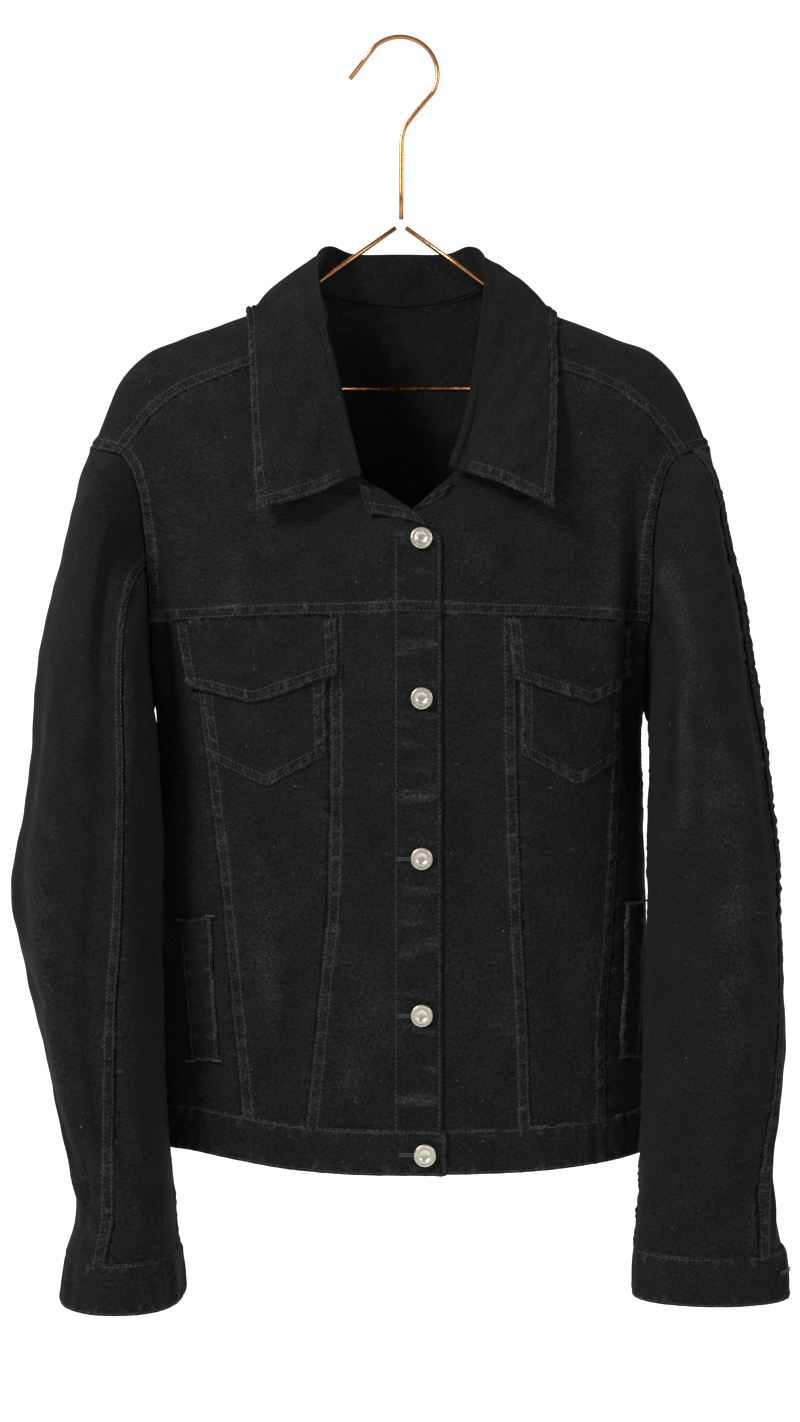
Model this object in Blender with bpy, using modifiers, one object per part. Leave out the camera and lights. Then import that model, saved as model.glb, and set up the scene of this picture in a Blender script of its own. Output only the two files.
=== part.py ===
"""A black denim jacket, buttoned up and hanging on a copper wire hanger.

Metres, +Z up. The origin is the top of the inside of the hook, where a rail takes the
weight. The jacket faces -Y, and +X is the wearer's left. Every piece of cloth is a wall:
an open sheet on the garment's surface, with its thickness behind its visible face.
"""

import math

import bmesh
import bpy
import numpy as np
from mathutils import Vector


def rows(names, *lines):
    """A table as a dictionary with an array for each named column."""
    return dict(zip(names.split(), np.array(lines, dtype=float).T))


# Cloth.
SINGLE = 0.0012            # one layer of denim
DOUBLE = 0.0024            # turned and stitched pieces: collar, flaps, cuffs, waistband
SEAM_GAP = 0.0004          # between two pieces that are sewn edge to edge
ARMHOLE_GAP = 0.0012       # where a sleeve's edge turns away from the body's
LAYER_GAP = 0.0009         # between a patch and the panel that it lies on

# Torso: horizontal sections are superellipses about the hanger's plane.
FULLNESS = 2.6
TORSO = rows("z half_width front back",
             (-0.19, 0.330, 0.055, 0.046),
             (-0.26, 0.300, 0.061, 0.052),
             (-0.33, 0.262, 0.065, 0.056),
             (-0.40, 0.228, 0.071, 0.058),
             (-0.46, 0.205, 0.075, 0.059),
             (-0.52, 0.190, 0.078, 0.060),
             (-0.60, 0.1885, 0.080, 0.061),
             (-0.68, 0.191, 0.082, 0.062),
             (-0.78, 0.196, 0.085, 0.064),
             (-0.87, 0.200, 0.089, 0.066))
FALL_LENGTH = 0.07         # how far below the shoulder ridge the torso is nearly full
FALL_POWER = 0.6

# Shoulders: the ridge lies on the hanger's arms and drops past their ends.
RIDGE = rows("x z",
             (0.072, -0.1905), (0.090, -0.2010), (0.114, -0.2134), (0.140, -0.2237),
             (0.170, -0.2349), (0.198, -0.2472), (0.211, -0.2595), (0.225, -0.2830),
             (0.2405, -0.3200))
NECK_HALF = 0.072
BACK_NECK_DEPTH = 0.035
BACK_NECK_Z = -0.202
SIDE_NECK_Z = -0.1905
SHOULDER_X = 0.2405
YOKE_CORNER_X = 0.2117
FRONT_YOKE = rows("x z",
                  (0.072, -0.2500), (0.095, -0.2570), (0.114, -0.2630), (0.135, -0.2705),
                  (0.160, -0.2800), (0.180, -0.2925), (0.196, -0.3090), (0.2117, -0.3300))
BACK_YOKE_Z = -0.330

# Armhole, by the angle round the sleeve from its outer side, past the yoke's corner.
CORNER_ANGLE = 60.0
ARMHOLE = rows("angle x z",
               (60, 0.2117, -0.3300), (75, 0.2030, -0.3420), (90, 0.1965, -0.3620),
               (110, 0.1925, -0.3920), (130, 0.1905, -0.4300), (150, 0.1895, -0.4700),
               (165, 0.1892, -0.5000), (180, 0.1900, -0.5200))
UNDERARM_Z = -0.520

# Front seams.
CHEST = rows("x z", (0.0, -0.4520), (0.10, -0.4545), (0.20, -0.4580))
OVERLAP_EDGE = 0.0302      # the buttonhole side's edge
UNDERLAP_EDGE = -0.0030    # the button side's edge, behind it
OVERLAP_LIFT = 0.0032
# The neckline's last points, down to the front edge, as (x, z) on each side.
FRONT_CORNER = {-1: ((0.0100, -0.3760), (0.0252, -0.3890), (OVERLAP_EDGE, -0.3970)),
                1: ((0.0120, -0.3720), (UNDERLAP_EDGE, -0.3820))}
INNER_SEAM = {
    -1: rows("z x", (-0.452, -0.0525), (-0.61, -0.0520), (-0.68, -0.0544),
             (-0.73, -0.0596), (-0.78, -0.0640), (-0.84, -0.0705)),
    1: rows("z x", (-0.452, 0.0855), (-0.61, 0.0876), (-0.70, 0.0910),
            (-0.77, 0.0944), (-0.84, 0.0965))}
OUTER_SEAM = {
    -1: rows("z x", (-0.452, -0.1580), (-0.52, -0.1500), (-0.61, -0.1386),
             (-0.70, -0.1282), (-0.80, -0.1186), (-0.84, -0.1150)),
    1: rows("z x", (-0.452, 0.1720), (-0.52, 0.1695), (-0.61, 0.1645),
            (-0.69, 0.1590), (-0.74, 0.1545), (-0.84, 0.1525))}

# Hem: the top of the waistband, by the angle round the body from the front's middle.
BAND_HEIGHT = 0.0325
HEM = rows("angle z",
           (-180, -0.8260), (-90, -0.8200), (-62, -0.8175), (-45, -0.8170), (-30, -0.8215),
           (-15, -0.8270), (0, -0.8290), (20, -0.8285), (45, -0.8250), (70, -0.8215),
           (90, -0.8210), (180, -0.8260))
BAND_END = 0.0335
BAND_OUT = 0.0008          # the band's face outside the panels' face
BAND_LIFT = 0.0038         # of its buttonhole end over its button end
BAND_LAP = (345.0, 356.5)  # degrees round the hem over which it rises

# Sleeves: the inner and outer side, the middle and half of the depth, by height.
SLEEVE = {
    -1: rows("z inner outer middle half",
             (-0.32, 0.1905, 0.2405, -0.014, 0.050), (-0.36, 0.1895, 0.2466, -0.020, 0.060),
             (-0.41, 0.1877, 0.2554, -0.027, 0.065), (-0.455, 0.1869, 0.2625, -0.034, 0.067),
             (-0.516, 0.1847, 0.2717, -0.044, 0.066), (-0.59, 0.1818, 0.2790, -0.056, 0.061),
             (-0.65, 0.1796, 0.2848, -0.067, 0.057), (-0.72, 0.1753, 0.2727, -0.078, 0.052),
             (-0.807, 0.1706, 0.2498, -0.088, 0.048), (-0.855, 0.1659, 0.2371, -0.090, 0.046),
             (-0.88, 0.1633, 0.2331, -0.090, 0.045), (-0.914, 0.1612, 0.2409, -0.090, 0.044),
             (-0.95, 0.1559, 0.2462, -0.090, 0.0445)),
    1: rows("z inner outer middle half",
            (-0.32, 0.1960, 0.2405, -0.010, 0.046), (-0.362, 0.1950, 0.2458, -0.017, 0.056),
            (-0.409, 0.1955, 0.2524, -0.024, 0.062), (-0.455, 0.1960, 0.2587, -0.031, 0.064),
            (-0.516, 0.1950, 0.2665, -0.042, 0.064), (-0.59, 0.1935, 0.2738, -0.054, 0.060),
            (-0.663, 0.1905, 0.2797, -0.066, 0.056), (-0.735, 0.1858, 0.2813, -0.077, 0.050),
            (-0.807, 0.1804, 0.2775, -0.085, 0.044), (-0.865, 0.1755, 0.2712, -0.088, 0.038),
            (-0.90, 0.1724, 0.2760, -0.088, 0.034), (-0.914, 0.1715, 0.2790, -0.088, 0.031),
            (-0.95, 0.1686, 0.2833, -0.088, 0.029))}
SLEEVE_FULLNESS = 2.2
SLEEVE_BLEND = 0.016       # how far from the armhole a sleeve takes its own section
SLEEVE_MARGIN = 0.009      # kept between a sleeve and the torso's side
# The vent seam runs from the armhole to the cuff's opening; the other is underneath.
VENT_SEAM = {
    -1: rows("z angle", (-0.32, 122), (-0.52, 126), (-0.65, 124), (-0.72, 116),
             (-0.80, 104), (-0.85, 92), (-0.92, 82)),
    1: rows("z angle", (-0.32, 50), (-0.45, 40), (-0.65, 32), (-0.80, 42), (-0.92, 58))}
UNDER_SEAM = -176.0
# The sleeves' largest folds, along the arm.
FOLDS = {
    -1: rows("angle width depth top bottom",
             (108, 13, 0.0050, -0.36, -0.88), (28, 18, 0.0030, -0.50, -0.86),
             (-60, 20, 0.0045, -0.40, -0.80), (-130, 16, 0.0050, -0.55, -0.90)),
    1: rows("angle width depth top bottom",
            (146, 12, 0.0090, -0.33, -0.62), (75, 20, 0.0030, -0.45, -0.86),
            (-55, 20, 0.0045, -0.42, -0.82), (-125, 16, 0.0050, -0.55, -0.88))}
CUFF_TOP = -0.9125
CUFF_BOTTOM = -0.9485
CUFF_END = -60.0           # where the cuff's buttonhole end is, behind the outer side
CUFF_LAP = 14.0            # degrees of the cuff's overlap
CUFF_BUTTON = 18.0         # degrees from the buttonhole end to the button
CUFF_OUT = 0.0006          # the cuff's face outside the sleeve's face
CUFF_LIFT = 0.0036

# Collar, by the position round the neck from the middle of the back to the front.
COLLAR_FOLD = 0.0034
COLLAR_ROWS = 12           # two up the stand, five over the roll, five down the leaf
SIDE_NECK_STEP = 0.36
COLLAR = {
    -1: rows("step neck_x neck_z roll_x roll_y roll_z edge_x edge_y edge_z",
             (0.00, 0.000, -0.202, 0.000, 0.030, -0.162, 0.000, 0.068, -0.243),
             (0.20, 0.050, -0.196, -0.036, 0.025, -0.163, -0.060, 0.060, -0.240),
             (0.38, 0.072, -0.1905, -0.062, 0.000, -0.164, -0.1150, 0.006, -0.2115),
             (0.50, 0.072, -0.215, -0.0655, -0.020, -0.192, -0.1150, -0.034, -0.240),
             (0.62, 0.072, -0.245, -0.0610, -0.036, -0.226, -0.1125, -0.052, -0.275),
             (0.75, 0.063, -0.280, -0.0520, -0.051, -0.262, -0.1100, -0.065, -0.312),
             (0.88, 0.050, -0.315, -0.0405, -0.064, -0.308, -0.1080, -0.074, -0.348),
             (1.00, 0.036, -0.345, -0.0300, -0.072, -0.350, -0.1056, -0.082, -0.375)),
    1: rows("step neck_x neck_z roll_x roll_y roll_z edge_x edge_y edge_z",
            (0.00, 0.000, -0.202, 0.000, 0.030, -0.162, 0.000, 0.068, -0.243),
            (0.20, 0.050, -0.196, 0.036, 0.025, -0.163, 0.060, 0.060, -0.240),
            (0.38, 0.072, -0.1905, 0.062, 0.000, -0.164, 0.1170, 0.006, -0.2115),
            (0.50, 0.072, -0.215, 0.0685, -0.020, -0.190, 0.1195, -0.034, -0.240),
            (0.62, 0.072, -0.245, 0.0655, -0.036, -0.225, 0.1185, -0.052, -0.275),
            (0.75, 0.065, -0.280, 0.0600, -0.051, -0.262, 0.1165, -0.065, -0.312),
            (0.88, 0.054, -0.316, 0.0510, -0.064, -0.306, 0.1145, -0.074, -0.348),
            (1.00, 0.0410, -0.346, 0.0385, -0.072, -0.342, 0.1122, -0.082, -0.374))}
COLLAR_MARGIN = 0.0048     # of the leaf's visible face over the shoulders

# Pockets, as outlines from their inner top corner round to the outer one.
FLAP = {
    -1: rows("x z", (-0.0469, -0.4560), (-0.0451, -0.4971), (-0.1073, -0.5182),
             (-0.1569, -0.5057), (-0.1655, -0.4595)),
    1: rows("x z", (0.0795, -0.4560), (0.0835, -0.4999), (0.1414, -0.5183),
            (0.1780, -0.4988), (0.1772, -0.4595))}
POCKET = {
    -1: rows("x z", (-0.0555, -0.4640), (-0.0545, -0.5570), (-0.0987, -0.5800),
             (-0.1410, -0.5610), (-0.1520, -0.4640)),
    1: rows("x z", (0.0885, -0.4640), (0.0890, -0.5560), (0.1320, -0.5790),
            (0.1650, -0.5600), (0.1690, -0.4640))}
WELT = {
    -1: rows("x z", (-0.1410, -0.6760), (-0.1345, -0.7820), (-0.1550, -0.7840),
             (-0.1620, -0.6800)),
    1: rows("x z", (0.1690, -0.6680), (0.1640, -0.7820), (0.1790, -0.7840),
            (0.1840, -0.6680))}

# Turned-out corners at the top of the fronts.
CORNER = {
    -1: rows("x z", (-0.0300, -0.3560), (-0.0245, -0.3780), (0.0022, -0.3823),
             (0.0222, -0.3885), (0.0060, -0.3740)),
    1: rows("x z", (0.0390, -0.3540), (0.0330, -0.3640), (0.0220, -0.3712),
            (0.0118, -0.3745), (0.0200, -0.3660))}

# Buttons.
BUTTON_RADIUS = 0.0081
BUTTON_THICK = 0.0026
BUTTON_X = 0.0158
BUTTON_Z = (-0.397, -0.515, -0.632, -0.746)
BAND_BUTTON = (0.0180, -0.8465)
BUTTON_SIDES = 14

# Hanger.
WIRE = 0.0018              # radius
HOOK_CENTRE = (0.0, -0.0275)
HOOK_RADIUS = 0.0293
HOOK_ARC = (-30.0, 132.0)
HOOK_TIP = (-0.0390, -0.0310)
STEM = ((0.0172, -0.0515), (0.0094, -0.0608), (0.0031, -0.0694), (0.0012, -0.0788),
        (0.0010, -0.1090), (0.0010, -0.1405))
ARM_START = 0.0046
ARM_START_Z = -0.1472
ARM_STAGGER = 0.0013       # by which the right arm starts nearer the middle
ARM_NECK = (0.066, -0.1912)
ARM_BELOW_RIDGE = 0.0046
ARM_END = 0.196
BAR_Z = -0.2733
BEND_ARC = (62, -66)       # degrees of the bend from an arm into the bar
BEND_INSET = 0.45          # of the bend's radius, how far its centre lies inside ARM_END
BAR_GAP = 0.0028           # between a bend's end and the bar's end

# Finishes: base colour, metallic, roughness.
FINISH = {
    "denim": ((0.016, 0.016, 0.017), 0.0, 0.92),
    "copper": ((0.80, 0.42, 0.26), 1.0, 0.28),
    "button": ((0.72, 0.68, 0.58), 1.0, 0.38)}

SIDES = {"right": -1, "left": 1}


# ---------------------------------------------------------------- curves and surfaces

def along(table, key, name, value):
    """A column read off the smooth curve through its rows, at a value of another column."""
    order = np.argsort(table[key])
    knots = table[key][order]
    heights = table[name][order]
    slopes = np.gradient(heights, knots)
    value = np.clip(value, knots[0], knots[-1])
    i = np.clip(np.searchsorted(knots, value, side="right") - 1, 0, len(knots) - 2)
    span = knots[i + 1] - knots[i]
    t = (value - knots[i]) / span
    start = (1 + 2 * t) * (1 - t) ** 2 * heights[i] + t * (1 - t) ** 2 * span * slopes[i]
    end = t * t * (3 - 2 * t) * heights[i + 1] + t * t * (t - 1) * span * slopes[i + 1]
    return start + end


def ramp(value, start, end):
    """A smooth step from 0 at start to 1 at end."""
    t = np.clip((value - start) / (end - start), 0.0, 1.0)
    return t * t * (3 - 2 * t)


def fall(below):
    """How full the torso is at a distance below the shoulder ridge."""
    return (1 - np.exp(-np.maximum(below, 0.0) / FALL_LENGTH)) ** FALL_POWER


def round_part(x, z):
    """The superellipse's share of its depth at x."""
    ratio = np.clip(np.abs(x) / along(TORSO, "z", "half_width", z), 0.0, 1.0)
    return (1 - ratio ** FULLNESS) ** (1 / FULLNESS)


def front_depth(x, z):
    """Distance of the front's visible face from the hanger's plane."""
    below = along(RIDGE, "x", "z", np.abs(x)) - z
    return along(TORSO, "z", "front", z) * round_part(x, z) * fall(below)


def back_top(x):
    """Height of the back neck's edge, and of the shoulder ridge beside it."""
    inside = np.clip(np.abs(x) / NECK_HALF, 0.0, 1.0)
    neck = BACK_NECK_Z + (SIDE_NECK_Z - BACK_NECK_Z) * inside ** 2
    return np.where(np.abs(x) < NECK_HALF, neck, along(RIDGE, "x", "z", np.abs(x)))


def back_neck_depth(x):
    """How far behind the hanger's plane the back neck's edge lies."""
    return BACK_NECK_DEPTH * (1 - np.clip(np.abs(x) / NECK_HALF, 0.0, 1.0) ** 2) ** 0.7


def back_depth(x, z):
    """Distance of the back's visible face from the hanger's plane."""
    start = back_neck_depth(x)
    full = along(TORSO, "z", "back", z) * round_part(x, z)
    return start + (full - start) * fall(back_top(x) - z)


def angle_at(x, z):
    """The angle round the torso, from the front's middle, of a point at x on the front."""
    ratio = np.clip(np.abs(x) / along(TORSO, "z", "half_width", z), 0.0, 1.0)
    return np.degrees(np.arcsin(ratio ** (FULLNESS / 2))) * np.sign(x)


def torso_face(angle, z):
    """The torso's visible face, at an angle from the front's middle towards +X."""
    turn = np.radians(angle)
    side = np.sin(turn)
    reach = np.sign(side) * np.abs(side) ** (2 / FULLNESS)
    x = along(TORSO, "z", "half_width", z) * reach
    y = np.where(np.cos(turn) > 0, -front_depth(x, z), back_depth(x, z))
    return np.stack([x, y, z], axis=-1)


def moved_out(face, first, second, out):
    """A surface's points moved along its outward normal, found by small steps."""
    step_first = 0.05
    step_second = 0.0005
    across = face(first + step_first, second) - face(first - step_first, second)
    up = face(first, second + step_second) - face(first, second - step_second)
    normal = np.cross(across, up)
    normal /= np.linalg.norm(normal, axis=-1, keepdims=True)
    return face(first, second) + normal * np.asarray(out)[..., None]


def on_torso(angle, z, out=0.0):
    """A point on the torso, moved out."""
    return moved_out(torso_face, angle, z, out + np.zeros_like(z))


def on_front(x, z, out=0.0):
    """A point on the torso's front, moved out."""
    return on_torso(angle_at(x, z), z, out)


def overlap_lift(x):
    """How far the buttonhole side stands off the button side at x."""
    return OVERLAP_LIFT * ramp(x, -0.022, UNDERLAP_EDGE - 0.004)


def polyline(table, share):
    """Points along a table's x and z, at shares of its length."""
    points = np.stack([table["x"], table["z"]], axis=-1)
    lengths = np.linalg.norm(np.diff(points, axis=0), axis=1)
    reached = np.concatenate([[0.0], np.cumsum(lengths)]) / lengths.sum()
    x = np.interp(share, reached, points[:, 0])
    z = np.interp(share, reached, points[:, 1])
    return np.stack([x, z], axis=-1)


def patch(inner, outer, top, bottom, u, v):
    """A point of the flat patch between four edges; u runs outwards and v runs up."""
    u = u[:, None]
    v = v[:, None]
    straight = (1 - u) * inner(v[:, 0]) + u * outer(v[:, 0])
    zero = np.zeros(1)
    one = np.ones(1)
    top_line = (1 - u) * inner(one) + u * outer(one)
    bottom_line = (1 - u) * inner(zero) + u * outer(zero)
    return straight + v * (top(u[:, 0]) - top_line) + (1 - v) * (bottom(u[:, 0]) - bottom_line)


def off_torso(points, margin):
    """Points pushed out of the torso's lower section, to a margin from its face."""
    wide = along(TORSO, "z", "half_width", points[:, 2])
    deep = np.where(points[:, 1] < 0, along(TORSO, "z", "front", points[:, 2]),
                    along(TORSO, "z", "back", points[:, 2]))
    for _ in range(4):
        power = FULLNESS - 1
        level = (np.abs(points[:, 0]) / wide) ** FULLNESS
        level = level + (np.abs(points[:, 1]) / deep) ** FULLNESS - 1
        slope_x = FULLNESS * np.abs(points[:, 0]) ** power / wide ** FULLNESS
        slope_y = FULLNESS * np.abs(points[:, 1]) ** power / deep ** FULLNESS
        slope_x = slope_x * np.sign(points[:, 0])
        slope_y = slope_y * np.sign(points[:, 1])
        steep = np.hypot(slope_x, slope_y)
        push = np.maximum(margin - level / steep, 0.0)
        points = points + np.stack([push * slope_x / steep, push * slope_y / steep,
                                    np.zeros_like(push)], axis=-1)
    return points


# ---------------------------------------------------------------- building pieces

def empty_scene():
    """Remove the objects and meshes that the file opened with."""
    for item in list(bpy.data.objects):
        bpy.data.objects.remove(item, do_unlink=True)


def make_materials():
    """One Principled material for each finish."""
    materials = {}
    for name, (colour, metallic, roughness) in FINISH.items():
        material = bpy.data.materials.new(name)
        material.use_nodes = True
        shader = material.node_tree.nodes["Principled BSDF"]
        shader.inputs["Base Color"].default_value = (*colour, 1.0)
        shader.inputs["Metallic"].default_value = metallic
        shader.inputs["Roughness"].default_value = roughness
        material.diffuse_color = (*colour, 1.0)
        materials[name] = material
    return materials


def add_object(name, data, finish):
    """Link an object to the jacket's collection, with a material of its own."""
    item = bpy.data.objects.new(name, data)
    COLLECTION.objects.link(item)
    material = MATERIALS[finish].copy()
    material.name = name + "_" + finish
    data.materials.append(material)
    return item


def grid_mesh(name, surface, columns, rows_up, outward, keep=None):
    """A grid whose corner shares (u, v) are placed by a surface function."""
    mesh = bmesh.new()
    bmesh.ops.create_grid(mesh, x_segments=columns, y_segments=rows_up, size=0.5)
    shares = np.array([vertex.co[:2] for vertex in mesh.verts]) + 0.5
    if keep is not None:
        spare = [face for face in mesh.faces
                 if not keep(face.calc_center_median().x + 0.5,
                             face.calc_center_median().y + 0.5)]
    places = surface(shares[:, 0], shares[:, 1])
    for vertex, place in zip(mesh.verts, places):
        vertex.co = place
    if keep is not None:
        bmesh.ops.delete(mesh, geom=spare, context="FACES")
    if outward < 0:
        bmesh.ops.reverse_faces(mesh, faces=mesh.faces)
    data = bpy.data.meshes.new(name)
    mesh.to_mesh(data)
    mesh.free()
    data.shade_smooth()
    return data


def sheet(name, surface, columns, rows_up, thickness, outward=1, keep=None):
    """A cloth piece: a grid on a surface, with its thickness behind its face."""
    data = grid_mesh(name, surface, columns, rows_up, outward, keep)
    item = add_object(name, data, "denim")
    shell = item.modifiers.new("Cloth", "SOLIDIFY")
    shell.thickness = thickness
    shell.offset = -1.0
    shell.use_even_offset = False
    return item


def wire(name, points, radius=WIRE):
    """A round copper wire through points in the hanger's plane."""
    curve = bpy.data.curves.new(name, "CURVE")
    curve.dimensions = "3D"
    curve.bevel_depth = radius
    curve.bevel_resolution = 2
    curve.use_fill_caps = True
    spline = curve.splines.new("POLY")
    spline.points.add(len(points) - 1)
    for knot, (x, z) in zip(spline.points, points):
        knot.co = (x, 0.0, z, 1.0)
    return add_object(name, curve, "copper")


# ---------------------------------------------------------------- hanger

def make_hanger():
    """Hook and stem, two arms and the bar, as four wires that meet end to end."""
    first, last = HOOK_ARC
    arc = []
    for turn in np.linspace(last, first, 16):
        across = HOOK_CENTRE[0] + HOOK_RADIUS * math.cos(math.radians(turn))
        up = HOOK_CENTRE[1] + HOOK_RADIUS * math.sin(math.radians(turn))
        arc.append((across, up))
    wire("hanger_hook", [HOOK_TIP, *arc, *STEM])
    inside = np.linspace(NECK_HALF, ARM_END, 9)
    heights = along(RIDGE, "x", "z", inside) - ARM_BELOW_RIDGE
    bend_middle = (heights[-1] + BAR_Z) / 2
    bend_radius = (heights[-1] - BAR_Z) / 2
    bend = []
    first, last = BEND_ARC
    for turn in np.linspace(first, last, 6):
        across = ARM_END + bend_radius * (math.cos(math.radians(turn)) - BEND_INSET)
        bend.append((across, bend_middle + bend_radius * math.sin(math.radians(turn))))
    for name, side in SIDES.items():
        start = ARM_START - ARM_STAGGER * (side < 0)
        path = [(start, ARM_START_Z), ARM_NECK, *zip(inside, heights), *bend]
        wire("hanger_arm_" + name, [(side * x, z) for x, z in path])
    bar_end = bend[-1][0] - BAR_GAP
    wire("hanger_bar", [(-bar_end, BAR_Z), (bar_end, BAR_Z)])


# ---------------------------------------------------------------- yoke and fronts

SHOULDER_COLUMNS = 8
NECK_COLUMNS = 6
YOKE_ROWS = 10


def yoke_surface(u, v):
    """The yoke, from its front seam over the shoulders to its back seam."""
    columns = 2 * SHOULDER_COLUMNS + NECK_COLUMNS
    place = u * columns - columns / 2
    half_neck = NECK_COLUMNS / 2
    share = np.clip((np.abs(place) - half_neck) / SHOULDER_COLUMNS, 0.0, 1.0)
    in_neck = np.clip(place / half_neck, -1.0, 1.0) * NECK_HALF
    side = np.sign(place)
    back = v > 0.5
    across = np.abs(v * 2 - 1) ** 2
    ridge_x = NECK_HALF + (SHOULDER_X - NECK_HALF) * share
    seam_x = NECK_HALF + (YOKE_CORNER_X - NECK_HALF) * share
    seam_z = np.where(back, BACK_YOKE_Z, along(FRONT_YOKE, "x", "z", seam_x)) + SEAM_GAP / 2
    ridge_z = along(RIDGE, "x", "z", ridge_x)
    x = side * (ridge_x + (seam_x - ridge_x) * across)
    z = ridge_z + (seam_z - ridge_z) * across
    neck = np.abs(place) < half_neck
    top = back_top(in_neck)
    x = np.where(neck, in_neck, x)
    z = np.where(neck, top + (seam_z - top) * across, z)
    y = np.where(back, back_depth(x, z), -front_depth(x, z))
    y = np.where(~neck & (across < 1e-9), 0.0, y)
    y = np.where(neck & (across < 1e-9), back_neck_depth(x), y)
    return np.stack([x, y, z], axis=-1)


def make_yoke():
    """One piece over both shoulders and across the back."""
    columns = 2 * SHOULDER_COLUMNS + NECK_COLUMNS

    def outside_neck(u, v):
        return v > 0.5 or abs(u * columns - columns / 2) > NECK_COLUMNS / 2

    sheet("yoke", yoke_surface, columns, YOKE_ROWS, SINGLE, keep=outside_neck)


def armhole_edge(share):
    """The front armhole below the yoke's corner, from share 0 at the corner."""
    return polyline({"x": ARMHOLE["x"], "z": ARMHOLE["z"]}, share)


def chest_height(x):
    """Height of the seam across the chest."""
    return along(CHEST, "x", "z", np.abs(x))


def front_inner_edge(side):
    """The neckline and front edge, from the chest seam (share 0) up to the yoke."""
    collar = COLLAR[side]
    neck = [(side * x, z) for step, x, z in
            zip(collar["step"], collar["neck_x"], collar["neck_z"]) if step > 0.7]
    edge = FRONT_CORNER[side]
    end = edge[-1][0]
    seam = float(along(FRONT_YOKE, "x", "z", NECK_HALF)) - SEAM_GAP
    points = [(side * (NECK_HALF + SEAM_GAP), seam), *neck, *edge,
              (end, float(chest_height(end)) + SEAM_GAP / 2)]
    points.reverse()
    x, z = np.array(points).T
    return {"x": x, "z": z}


def armhole_share_at(z):
    """The share of the armhole's length at which it passes a height."""
    shares = np.linspace(0, 1, 200)
    return float(np.interp(-z, -armhole_edge(shares)[:, 1], shares))


def make_upper_front(name, side):
    """The front above the chest seam."""
    edge = front_inner_edge(side)
    low = armhole_share_at(float(chest_height(0.19)) + SEAM_GAP / 2)

    def inner(v):
        return polyline(edge, v)

    def outer(v):
        points = armhole_edge(low * (1 - v))
        return np.stack([side * (points[:, 0] - SEAM_GAP), points[:, 1]], axis=-1)

    def top(u):
        x = NECK_HALF + SEAM_GAP + (YOKE_CORNER_X - NECK_HALF - 2 * SEAM_GAP) * u
        return np.stack([side * x, along(FRONT_YOKE, "x", "z", x) - SEAM_GAP / 2], axis=-1)

    def bottom(u):
        ends = inner(np.zeros(1))[0], outer(np.zeros(1))[0]
        x = ends[0][0] + (ends[1][0] - ends[0][0]) * u
        return np.stack([x, chest_height(x) + SEAM_GAP / 2], axis=-1)

    def surface(u, v):
        flat = patch(inner, outer, top, bottom, u, v)
        lift = overlap_lift(flat[:, 0]) if side < 0 else 0.0
        return on_front(flat[:, 0], flat[:, 1], lift)

    sheet("front_upper_" + name, surface, SHOULDER_COLUMNS, 12, SINGLE, outward=side)


def panel_surface(left_x, right_x, lifted):
    """A front panel under the chest seam, between two seams given as x by height."""
    def angle_across(u, z):
        first = angle_at(left_x(z), z)
        return first + (angle_at(right_x(z), z) - first) * u

    def surface(u, v):
        low = np.full_like(u, HEM["z"].mean())
        high = np.full_like(u, CHEST["z"].mean())
        hem = along(HEM, "angle", "z", angle_across(u, low)) + SEAM_GAP
        top = chest_height(torso_face(angle_across(u, high), high)[:, 0]) - SEAM_GAP / 2
        z = top + (hem - top) * (1 - v)
        angle = angle_across(u, z)
        place = torso_face(angle, z)
        lift = overlap_lift(place[:, 0]) if lifted else 0.0
        return on_torso(angle, z, lift)
    return surface


def make_lower_fronts(name, side):
    """Three panels on each side: by the opening, under the pocket and at the side."""
    half_gap = SEAM_GAP / 2

    def seam(table, nudge):
        return lambda z: along(table, "z", "x", z) + nudge

    def opening(z):
        return np.full_like(z, OVERLAP_EDGE if side < 0 else UNDERLAP_EDGE)

    def side_seam(z):
        x = along(TORSO, "z", "half_width", z)
        armhole = np.interp(-z, -ARMHOLE["z"], ARMHOLE["x"]) - SEAM_GAP
        return side * np.where(z > UNDERARM_Z, armhole, x)

    nudge = side * half_gap
    strips = (
        ("front_centre_", opening, seam(INNER_SEAM[side], -nudge), 6),
        ("front_pocket_", seam(INNER_SEAM[side], nudge), seam(OUTER_SEAM[side], -nudge), 4),
        ("front_side_", seam(OUTER_SEAM[side], nudge), side_seam, 5))
    for prefix, near, far, columns in strips:
        surface = panel_surface(near, far, lifted=side < 0)
        sheet(prefix + name, surface, columns, 10, SINGLE, outward=side)


def make_back():
    """The back below the yoke, from one side seam to the other."""
    gap_degrees = 0.25

    def surface(u, v):
        angle = 90.0 + gap_degrees + (180.0 - 2 * gap_degrees) * u
        wrapped = np.where(angle > 180, angle - 360, angle)
        hem = along(HEM, "angle", "z", wrapped) + SEAM_GAP / 2
        top = BACK_YOKE_Z - SEAM_GAP / 2
        z = hem + (top - hem) * v
        edge = np.interp(-z, -ARMHOLE["z"], ARMHOLE["x"]) - 2.2 * ARMHOLE_GAP
        reach = np.where(z > UNDERARM_Z, edge, along(TORSO, "z", "half_width", z))
        limit = angle_at(reach, z)
        spread = (angle - 180.0) / 90.0
        turned = 180.0 + spread * limit
        return on_torso(turned, z)

    sheet("back_panel", surface, 14, 11, SINGLE)


# ---------------------------------------------------------------- waistband

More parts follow.
